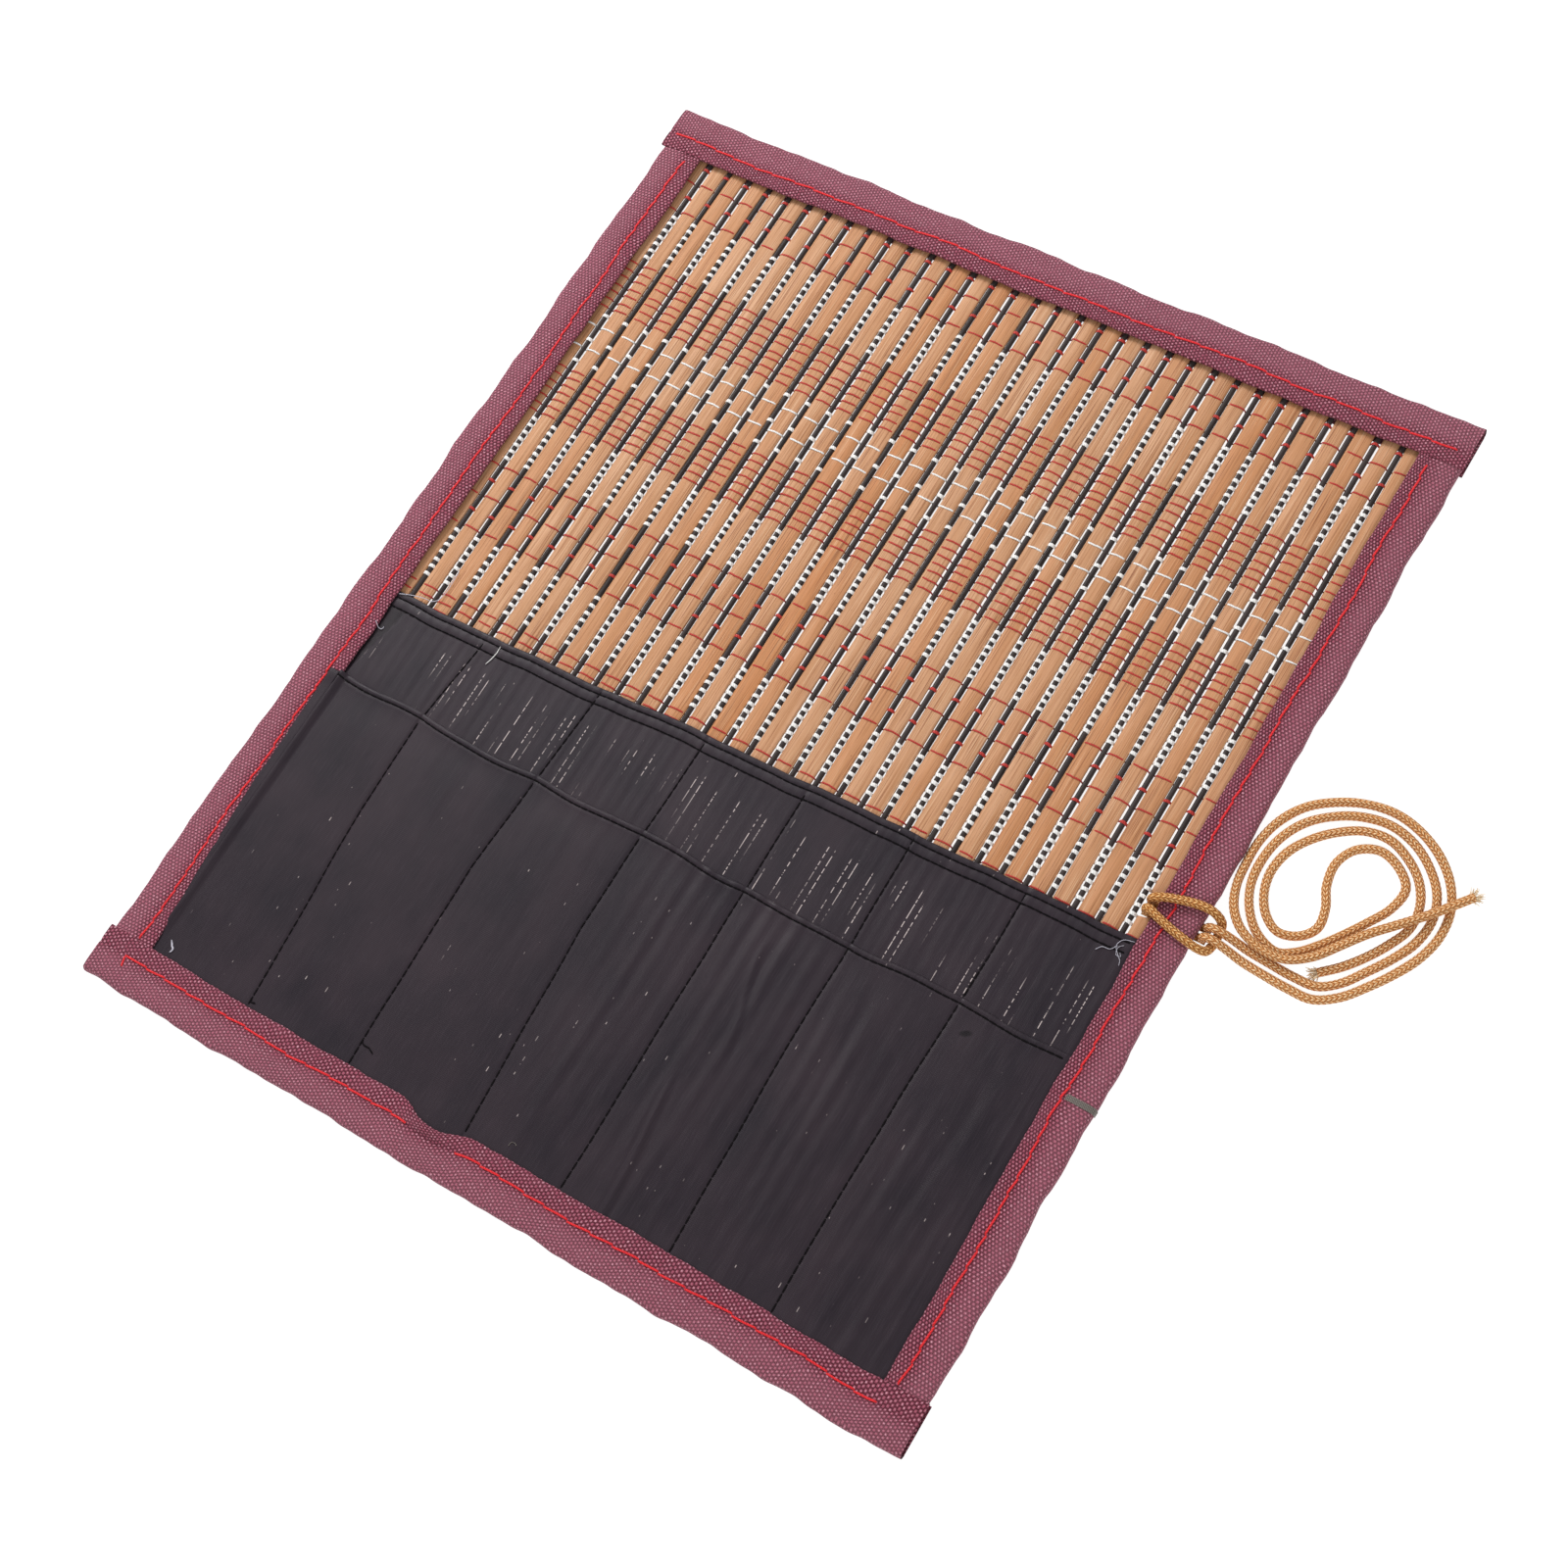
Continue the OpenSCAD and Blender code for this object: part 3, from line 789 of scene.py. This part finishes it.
def slab(shape, outer, inner, us, uv, mat, thin=None):
    """A closed skin between two faces, given as functions of the running coordinate."""

    def loop(u):
        return np.concatenate([outer(u), inner(u)[:, ::-1]], 1)

    us = np.asarray(us, float)
    p = loop(us)
    du = loop(us + 0.05) - loop(us - 0.05)
    dv = np.roll(p, -1, 1) - np.roll(p, 1, 1)
    shape.tube(p, np.cross(du, dv), uv(us), mat, paired=True, thin=0.0 if thin is None else thin(p))


TAPE_THICK = 0.55
# where the bottom tape's raw edge is rolled and dips below the other stitches
ROLLED_X, ROLLED_WIDE = -18.4, 8.5
# places among a tape's points: the stitch line, the fold's top and the start of the underside
STITCH, FOLD, UNDER = 5, 10, 15


def tape_faces(kind, w, stitch):
    """The outer and inner faces, the coordinate map and the stitch line of a tape folded over an edge.
    w is how far its raw edge lies from the fold, and stitch how far the seam does."""
    seed = {"left": 1.0, "right": 2.0, "top": 3.0, "bottom": 4.0}[kind]
    side = kind in ("left", "right")
    half = HALF_W if side else HALF_L
    sign = -1 if kind in ("left", "bottom") else 1

    def parts(u):
        u = np.asarray(u, float)[:, None]
        edge = 0.42 * wave(u, seed, 11) + 0.25 * wave(u, seed + 1, 4.3)
        width = w + 0.30 * wave(u, seed + 2, 15) + 0.16 * wave(u, seed + 3, 3.1)
        lift = 0.10 * wave(u, seed + 4, 8) + 0.05 * wave(u, seed + 6, 2.7)
        drift = 0.45 * wave(u, seed + 5, 17) + 0.15 * wave(u, seed + 7, 5)
        rolled = 0 * u
        if kind == "right":
            edge = edge - 0.5 * smooth(-60, -110, u) * (0.5 + 0.5 * wave(u, 8.0, 9))
        if kind == "bottom":
            rolled = np.exp(-(np.abs((u - ROLLED_X) / ROLLED_WIDE) ** 3))
            width = width - 3.0 * rolled
        if kind in ("top", "bottom"):
            lift = lift + 0.45 * smooth(121, 126, np.abs(u))
            width = width + 0.5 * smooth(124, 137, np.abs(u))
        s = stitch + drift - 0.9 * rolled
        open_part = width - s
        # from the raw edge to the fold: distance from the fold, height, share of the lift, rise if rolled
        upper = [
            (width, 3.92, 1, 0.2),
            (width - 0.35, 4.12, 1, 0.65),
            (s + open_part * 0.75, 4.22, 1, 0.85),
            (s + open_part * 0.4, 4.27, 1, 0.8),
            (s + open_part * 0.14, 4.18, 1, 0.5),
            (s, 3.95, 0.8, -0.15),
            (s - 0.8, 4.18, 1, 0),
            (s - 2.2, 4.27, 1, 0),
            (s * 0.5, 4.24, 1, 0),
            (s * 0.28, 4.2, 1, 0),
            (1.0, 4.02, 0.8, 0),
        ]
        outer = [(q + edge * 0.1, z + up * rolled + lift * share) for q, z, share, up in upper]
        outer += [(0.30 + edge, 3.5), (edge, 2.6), (edge, 1.3), (0.30 + edge, 0.42)]
        outer += [(1.2 + edge * 0.5, 0.0), (w * 0.5 + 0 * u, 0.0), (width, 0.03)]
        inner = [(q + edge * 0.1, z + up * rolled - TAPE_THICK + lift * share) for q, z, share, up in upper]
        inner[FOLD] = (1.15 + edge * 0.5, 3.42)
        inner += [(0.95 + edge, 3.1), (0.75 + edge, 2.5), (0.75 + edge, 1.3), (0.95 + edge, 0.75)]
        inner += [(1.4 + edge * 0.5, 0.56), (w * 0.5 + 0 * u, 0.56), (width, 0.56)]
        if kind == "right":
            # the tape's underside rises over the cord's two strands
            over_cord = smooth(-10.4, -9.0, u) * (1 - smooth(-1.9, -0.5, u))
            outer = outer[:UNDER] + [(q, z + 0.68 * over_cord) for q, z in outer[UNDER:]]
            inner = inner[:UNDER] + [(q, z + 0.3 * over_cord) for q, z in inner[UNDER:]]
        return outer, inner

    def place(rows, u):
        u = np.asarray(u, float)[:, None]
        out = []
        for q, z in rows:
            across = sign * (half - np.broadcast_to(q, u.shape))
            z = np.broadcast_to(z, u.shape)
            out.append(join(across, u, z) if side else join(u, across, z))
        return np.concatenate(out, 1)

    def outer(u):
        return place(parts(u)[0], u)

    def inner(u):
        return place(parts(u)[1], u)

    base = outer([0.0])[0]
    run = np.concatenate([[0], np.cumsum(np.linalg.norm(np.diff(base, axis=0), axis=1))])

    def uv(u):
        v = np.concatenate([run, run[::-1] + 0.4, [0.2]])
        return np.stack(np.meshgrid(np.asarray(u, float) + seed * 300, v, indexing="ij"), -1)

    def seam(u):
        """The stitch line's own point at u, at the bottom of its groove."""
        return outer(u)[:, STITCH]

    return outer, inner, uv, seam


def stitches(shape, seam, holes, a, b, axis):
    """Stitches from hole to hole along a seam, drawn between a and b.
    Each dips into its holes and leans a little along the axis that runs across the seam."""
    for h0, h1 in zip(holes, holes[1:]):
        lo, hi = max(a, h0), min(b, h1)
        if hi - lo < 0.05:
            continue
        u = h0 + (h1 - h0) * np.array([0, 0.03, 0.08, 0.18, 0.34, 0.5, 0.66, 0.82, 0.92, 0.97, 1])
        u = np.concatenate([[lo], u[(u > lo + 0.01) & (u < hi - 0.01)], [hi]])
        t = 2 * (u - h0) / (h1 - h0) - 1
        p = seam(u).copy()
        p[:, 2] += 0.34 - 0.46 * np.abs(t) ** 8
        p[:, axis] += 0.24 * t
        line_tube(shape, p, 0.34 - 0.06 * np.abs(t) ** 8, 1, sides=6, flat=0.62)


TOP = tape_faces("top", 15.0, 10.0)
BOTTOM = tape_faces("bottom", 15.0, 9.4)
LEFT = tape_faces("left", 14.0, 9.4)
RIGHT = tape_faces("right", 12.7, 8.8)
# the needle goes down close to each rod
HOLES = [rod_x(i) - 0.5 + 0.5 * math.sin(i * 2.7) for i in range(-1, RODS + 3)]
# the rolled edge hides the bottom seam between these
HIDDEN_FROM, HIDDEN_TO = -25.6, -9.0


def end_tapes(name, x0, x1, columns, hook=False):
    """The stretch of the top and bottom tapes between x0 and x1; hook adds the seam's loose first stitch."""
    shape = Shape()
    for outer, inner, uv, seam in (TOP, BOTTOM):
        slab(shape, outer, inner, np.linspace(x0, x1, columns), uv, 0)
        if seam is TOP[3]:
            stitches(shape, seam, HOLES, x0, x1, 1)
        else:
            stitches(shape, seam, HOLES[1:-1], x0, min(x1, HIDDEN_FROM), 1)
            stitches(shape, seam, HOLES[1:-1], max(x0, HIDDEN_TO), x1, 1)
    if hook:
        q = BOTTOM[3]([HOLES[1]])[0]
        end = [q, q + (0.2, -0.9, 0.42), q + (0.6, -2.2, 0.5), q + (0.9, -3.4, 0.42)]
        line_tube(shape, end, 0.3, 1, sides=6, flat=0.7)
    return shape.make(name, [TAPE, RED])


def tape_names():
    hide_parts("top_binding", "bottom_binding", "top_stitching", "bottom_stitching")


for i in range(1, RODS + 1):
    piece = end_tapes(f"end_tapes_{i:02d}", slat_x(i), slat_x(i + 1), 9)
    tape_names()
    strip_ride(piece, i, HALF_PITCH)
piece = end_tapes("end_tapes_left", FAR_LEFT, slat_x(1), 14, True)
tape_names()
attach(piece, "left_edge")
piece = end_tapes("end_tapes_right", slat_x(SLATS), FAR_RIGHT, 14)
tape_names()
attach(piece, "right_edge")

SIDE_TAPE_END = 151.5
SIDE_HOLES = [-149.2 + 5.6 * n + 0.9 * math.sin(n * 2.2) for n in range(54)]
for name, faces, who in (("left", LEFT, "left_edge"), ("right", RIGHT, "right_edge")):
    outer, inner, uv, seam = faces
    shape = Shape()
    slab(shape, outer, inner, np.linspace(-SIDE_TAPE_END, SIDE_TAPE_END, 122), uv, 0)
    stitches(shape, seam, SIDE_HOLES, -SLAT_END, 150, 0)
    piece = shape.make(f"{name}_tape", [TAPE, RED])
    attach(piece, who)
    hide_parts(f"{name}_binding", f"{name}_stitching")


# ---- pocket cloths

# each seam's x at the four heights, from the bottom tape up to the back cloth's hem
SEAM_Y = (-150, -85, -54, -20)
SEAM_X = (
    (-86.6, -91.8, -92.5, -89.4), (-50.4, -52.2, -50.9, -48.6), (-9.7, -13.9, -13.6, -12.5),
    (22.3, 21.6, 21.6, 21.2), (57.3, 55.7, 55.7, 55.3), (89.3, 89.4, 90.2, 90.9),
)
SEAMS = len(SEAM_X)
CLOTH_LEFT, CLOTH_RIGHT, CLOTH_LOW = -123.0, 124.0, -156.0
# the pocket mouths lie just above this, and only the back cloth lies above it
MOUTH_Y = -54
# a hem's section: distance down from the cloth's edge and rise; the stitch rows lie in its dips
HEM_FRONT = np.array([[0, -0.12], [0.2, 0.1], [0.8, 0.2], [1.4, 0.13],
                      [1.75, -0.02], [2.2, 0.1], [3.0, 0.07], [4.2, 0.0]])
HEM_BACK = np.array([[0, -0.12], [0.25, 0.1], [1.0, 0.18], [1.7, 0.12], [2.05, -0.02], [2.5, 0.12],
                     [3.7, 0.18], [4.8, 0.1], [5.2, -0.03], [5.7, 0.05], [6.6, 0.0]])


def seam_at(k, y):
    """Where seam k crosses y."""
    return np.interp(y, SEAM_Y, SEAM_X[k]) + 0.22 * wave(y, 20.0 + k, 19)


def puff(x, y):
    """0 on a seam and 1 in the middle of a pocket; also which pocket, and how far the nearer seam is."""
    x, y = np.broadcast_arrays(np.asarray(x, float), np.asarray(y, float))
    seams = [seam_at(k, y) for k in range(SEAMS)]
    walls = np.stack([np.full_like(x, CLOTH_LEFT), *seams, np.full_like(x, CLOTH_RIGHT)])
    k = (x >= walls[1:-1]).sum(0)
    a, b = np.take_along_axis(walls, k[None], 0)[0], np.take_along_axis(walls, k[None] + 1, 0)[0]
    t = np.clip((x - a) / (b - a), 0, 1)
    return np.clip(np.sin(math.pi * t), 0, 1) ** 0.6, k, np.minimum(np.abs(x - a), np.abs(b - x))


def front_top(x):
    return -52.2 - 0.004 * x + 0.8 * wave(x, 5.0, 16) - 0.5 * puff(x, MOUTH_Y)[0]


def back_top(x):
    course = np.interp(x, [-127, -87, -48, -28, 70, 124], [-21.3, -21.1, -20.0, -18.8, -16.7, -15.6])
    return course + 0.3 * wave(x, 6.0, 9)


def ridge(d, wide):
    """A rounded ridge, 1 at its middle."""
    return np.exp(-((d / wide) ** 2))


def front_height(x, y):
    """The pocket cloth: each pocket swells a little, with ripples and folds along it."""
    lift, k, near = puff(x, y)
    held = smooth(-150, -128, y) * 0.7 + 0.3 * smooth(-157, -150, y)
    z = 3.34 + 0.42 * lift * held * (1 - 0.35 * smooth(-66, -56, y)) - 0.14 * ridge(near, 0.6)
    lean = 0.035 * (y + 100) * np.sin(k * 2.3)
    ripple = 0.13 * np.sin((x + lean) * 0.78 + k * 1.9 + 0.5 * wave(y, 30.0, 33))
    ripple = ripple + 0.09 * np.sin((x - lean) * 1.37 + k * 0.7 + 0.8 * wave(y, 31.0, 25))
    rough = (0.3 + 0.7 * smooth(-20, 20, x)) * (0.5 + 0.5 * wave(y + x * 0.6, 32.0, 26))
    z = z + ripple * lift * rough
    # the longer folds of the right-hand pockets
    d = x - (33.0 + 2.9 * smooth(-108, -148, y) + 0.3 * wave(y, 33.0, 14))
    deep = smooth(-104, -122, y) * smooth(-157, -147, y)
    z = z + deep * (0.42 * ridge(d, 0.9) - 0.24 * ridge(d - 2.1, 1.1) + 0.16 * ridge(d + 2.6, 1.2))
    d = x - (34.6 + 7.0 * smooth(-62, -100, y))
    z = z + smooth(-62, -72, y) * smooth(-102, -90, y) * (0.26 * ridge(d, 1.0) - 0.16 * ridge(d - 2.0, 1.1))
    soft = smooth(-157, -144, y) * smooth(-54, -80, y)
    z = z + soft * (0.20 * ridge(x - 73.5, 2.2) - 0.10 * ridge(x - 69.8, 1.6) + 0.24 * ridge(x - 111.5, 1.9))
    z = z + soft * (0.18 * ridge(x - 119.6, 0.8) - 0.16 * ridge(x - 107.8, 1.7) + 0.16 * ridge(x - 4.5, 1.8))
    # its left edge climbs onto the tape
    flap = smooth(-146, -138, y) * smooth(-120.2, -122.7, x)
    return z + (4.42 - z) * flap


def tucked(x, y):
    """The back cloth's left end is folded under along a slanting line; below 0 on the folded side."""
    return np.where(y > -51.5, x + 116.7 - 0.235 * (y + 26.6), 1.0)


def back_height(x, y):
    """The back cloth, flat behind the pockets and slightly rippled above them."""
    free = smooth(-56, -50, y)
    near = puff(x, y)[2]
    ripple = 0.05 * np.sin(x * 0.83 + 0.7 * wave(y, 41.0, 15))
    ripple = ripple + 0.035 * np.sin(x * 1.9 + 1.1 + wave(y, 42.0, 18))
    ripple = ripple * (0.6 + 0.4 * wave(x, 43.0, 31))
    step = 0.2 * smooth(-0.4, 0.4, tucked(x, y)) * smooth(-22, -27, y) - 0.1
    return 2.98 + free * (0.10 + ripple - 0.1 * ridge(near, 0.6) + step * smooth(-100, -118, x))


def cloth_faces(top, height, hem, thick, samples):
    """A cloth's outer and inner faces and coordinate map, from its top edge's course and its height."""
    share = np.linspace(0, 1, samples)

    def rows(x):
        x = np.asarray(x, float)
        end = top(x)
        ys = [CLOTH_LOW + (end - hem[-1, 0] - CLOTH_LOW) * t for t in share]
        zs = [height(x, y) for y in ys]
        for d, dz in hem[::-1][1:]:
            y = end - d
            ys.append(y)
            zs.append(height(x, y) + dz)
        return x, list(zip(ys, zs))

    def outer(x):
        x, pairs = rows(x)
        return np.stack([join(x, y, z) for y, z in pairs], 1)

    def inner(x):
        x, pairs = rows(x)
        low_z = [np.minimum(z - 0.05, height(x, y) - thick) for y, z in pairs]
        return np.stack([join(x, y, z) for (y, _), z in zip(pairs, low_z)], 1)

    def uv(x):
        p = outer(x)
        both = np.concatenate([p, p[:, ::-1], p[:, :1]], 1)
        return both[..., :2].copy()

    return outer, inner, uv


FRONT = cloth_faces(front_top, front_height, HEM_FRONT, 0.18, 38)
BACK = cloth_faces(back_top, back_height, HEM_BACK, 0.16, 44)
# label, faces, top edge, height, stitch rows below the top edge, and where the seams start
CLOTHS = (
    ("front", FRONT, front_top, front_height, (1.75,), -149.5),
    ("back", BACK, back_top, back_height, (2.05, 5.2), -54.5),
)


def dashes(shape, line, long=2.5, gap=0.3, keep=(-math.inf, math.inf)):
    """Short stitches along a line of points; only those with their middles between keep."""
    line = np.asarray(line, float)
    run = np.concatenate([[0], np.cumsum(np.linalg.norm(np.diff(line, axis=0), axis=1))])
    at = 0.0
    while at + long <= run[-1]:
        t = np.array([at, at + long * 0.25, at + long * 0.75, at + long])
        q = join(*(np.interp(t, run, line[:, k]) for k in range(3)))
        q[:, 2] += (-0.06, 0.1, 0.1, -0.06)
        if keep[0] <= (q[1, 0] + q[2, 0]) / 2 < keep[1]:
            line_tube(shape, q, 0.25, 1, sides=5, flat=0.7)
        at += long + gap


def light_through(p):
    """1 where only one cloth lies on the mat, -1 where the back cloth's end is folded under."""
    x, y = p[..., 0], p[..., 1]
    folded = (tucked(x, y) < 0) & (y < -26.5) & (y > -51.5)
    return np.clip(y - MOUTH_Y, 0, 1) * np.where(folded, -1.0, 1.0)


def cloth_strip(i, label, faces, top, height, hem_rows, start_y):
    """A cloth's stretch over rod i, between the middles of two slats, with its seams and hem."""
    shape = Shape()
    outer, inner, uv = faces
    x0, x1 = slat_x(i), slat_x(i + 1)
    seams = []
    for k in range(SEAMS):
        ys = np.arange(start_y, float(top(np.array([SEAM_X[k][-1]]))[0]) - 0.5, 0.7)
        xs = seam_at(k, ys)
        if xs.max() > x0 - 1 and xs.min() < x1 + 1:
            seams.append(join(xs, ys, height(xs, ys) + 0.04))
    # seams, the deepest folds and the tucked corner need more columns
    fine = seams or 30 < x1 < 50 or x0 < -115
    thin = light_through if label == "back" else None
    slab(shape, outer, inner, np.linspace(x0, x1, 20 if fine else 11), uv, 0, thin)
    for line in seams:
        dashes(shape, line, keep=(x0, x1))
    third = (x1 - x0) / 3
    for down in hem_rows:
        for n in range(3):
            xs = np.linspace(x0 + third * n + 0.08, x0 + third * (n + 1) - 0.08, 4)
            ys = top(xs) - down
            dashes(shape, join(xs, ys, height(xs, ys) + 0.08), long=third - 0.2, gap=1.0)
    piece = shape.make(f"pocket_{label}_{i:02d}", [CLOTH, SEAM])
    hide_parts(f"pocket_{label}", "pocket_stitching")
    return piece


for i in range(1, RODS + 1):
    x0, x1 = slat_x(i), slat_x(i + 1)
    mid = np.array([(x0 + x1) / 2])
    for label, faces, top, height, hem_rows, start_y in CLOTHS:
        piece = cloth_strip(i, label, faces, top, height, hem_rows, start_y)
        strip_ride(piece, i, HALF_PITCH)
        cut = float(top(mid)[0]) - CLOTH_LOW

for label, faces, top, *_ in CLOTHS:
    shape = Shape()
    outer, inner, uv = faces
    x0, x1 = slat_x(SLATS), 126.8
    thin = light_through if label == "back" else None
    slab(shape, outer, inner, np.linspace(x0, x1, 5), uv, 0, thin)
    piece = shape.make(f"pocket_{label}_{SLATS}", [CLOTH])
    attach(piece, "right_edge")
    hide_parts(f"pocket_{label}")
    cut = float(top(np.array([x0]))[0]) - CLOTH_LOW


def front_corner():
    """The pocket cloth's left edge, which lies over the tape out to its stitches."""
    ys = np.linspace(-131.5, -52.3, 50)
    left = np.interp(ys, [-132, -125, -108, -91, -52], [-123.4, -123.9, -125.2, -125.9, -126.3])
    left = left + 0.1 * wave(ys, 50.0, 4)
    rows = []
    for t in np.linspace(0, 1, 7):
        x = left + (slat_x(1) + 0.02 - left) * t
        rows.append((x, 4.40 + 0.1 * wave(ys + t * 9, 51.0, 6) * (1 - t) + 0.3 * smooth(-57.5, MOUTH_Y, ys)))
    top_face = np.stack([join(x, ys, z) for x, z in rows], 1)
    low_face = np.stack([join(x, ys, z - 0.16) for x, z in rows], 1)
    loop = np.concatenate([top_face, low_face[:, ::-1]], 1)
    uv = np.concatenate([loop, loop[:, :1]], 1)[..., :2].copy()
    shape = Shape()
    shape.tube(loop, None, uv, 0, paired=True)
    return shape.make("pocket_front_corner", [CLOTH])


piece = front_corner()
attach(piece, "left_edge")


# ---- loose threads


def loose(name, points, radius, mat, i, slot="white_thread", taper=False):
    """A thread end or piece of lint lying over rod i."""
    shape = Shape()
    path = spline(points, 0.4)
    r = np.full(len(path), radius)
    if taper:
        r = radius * (0.35 + 0.65 * np.sin(np.linspace(0.3, math.pi - 0.3, len(path))))
    line_tube(shape, path, r, 0, sides=6)
    piece = shape.make(name, [mat])
    strip_ride(piece, i, HALF_PITCH)


def on_cloth(points, height, lift):
    """Lays a line of (x, y) on a cloth."""
    return [(x, y, float(height(np.array([x]), np.array([y]))[0]) + lift) for x, y in points]


crossing = (-115.8, -20.3, 3.4)
route = [(-122.3, -22.3, 3.5), (-120, -21.4, 3.45), (-117.6, -20.7, 3.4), crossing]
loose("loose_left_1", route, 0.12, LINT, 1)
route = [crossing, (-114, -20, 3.4), (-111.6, -19.8, 3.3), (-110.3, -18.2, 2.95), (-109.8, -15.2, 2.8),
         (-109.9, -11, 2.8), (-110.2, -7.5, 2.75)]
loose("loose_left_2", route, 0.12, LINT, 2)
route = [(-84.1, -22.7), (-84, -25.4), (-84.4, -27.6), (-85, -29.6)]
loose("loose_hair", on_cloth(route, back_height, 0.3), 0.15, WHITE, 6, taper=True)
route = [(-123, -33.2, 4.5), (-122.2, -33.9, 4.3), (-121.2, -34.6, 3.5), (-120.4, -34.3, 3.3),
         (-120.2, -33.5, 3.35)]
loose("loose_edge", route, 0.11, LINT, 1)
for n, lift, radius, route in (
    (1, 0.32, 0.09, [(123.3, -16.9), (120.3, -17.8), (119.4, -19.9), (121.1, -22.3), (122.2, -23.3),
                     (122.7, -24.7)]),
    (2, 0.32, 0.09, [(119.7, -19.9), (118.4, -21.7), (116.2, -22.1), (115, -23.6)]),
    (3, 0.36, 0.07, [(121.2, -19.1), (120.1, -20.3), (120.6, -22.4), (121.9, -22.3), (121.2, -21.4)]),
):
    loose(f"loose_corner_{n}", on_cloth(route, back_height, lift), radius, LINT, RODS)
route = [(-118.4, -144.9), (-117.3, -146.2), (-116.4, -147.1), (-116.7, -148.2)]
loose("loose_low_left", on_cloth(route, front_height, 0.2), 0.3, LINT, 1, taper=True)
route = [(3.2, -147), (3.4, -145.8), (4.4, -145.5), (5.2, -145.9)]
loose("loose_low_mid", on_cloth(route, front_height, 0.14), 0.1, GREY, 17)
for n, i, route in (
    (1, 5, [(-86.7, -147.5), (-86.2, -148.6), (-84.9, -148.4)]),
    (2, 10, [(-50.6, -142.4), (-49.6, -143.1), (-47.6, -143.2), (-45.8, -144)]),
):
    loose(f"loose_seam_{n}", on_cloth(route, front_height, 0.18), 0.2, SEAM, i, "dark_thread")


def grey_tack():
    """Three turns of grey thread round the right tape."""
    shape = Shape()
    for y in (-62.55, -63.15, -63.75):
        p = RIGHT[0]([y])[0][6:14] + (0.0, 0.0, 0.12)
        p[5:, 0] += 0.14
        p[0, 2] -= 0.3
        line_tube(shape, p, 0.34, 0, sides=6, flat=0.7)
    return shape.make("grey_tack", [GREY])


piece = grey_tack()
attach(piece, "right_edge")
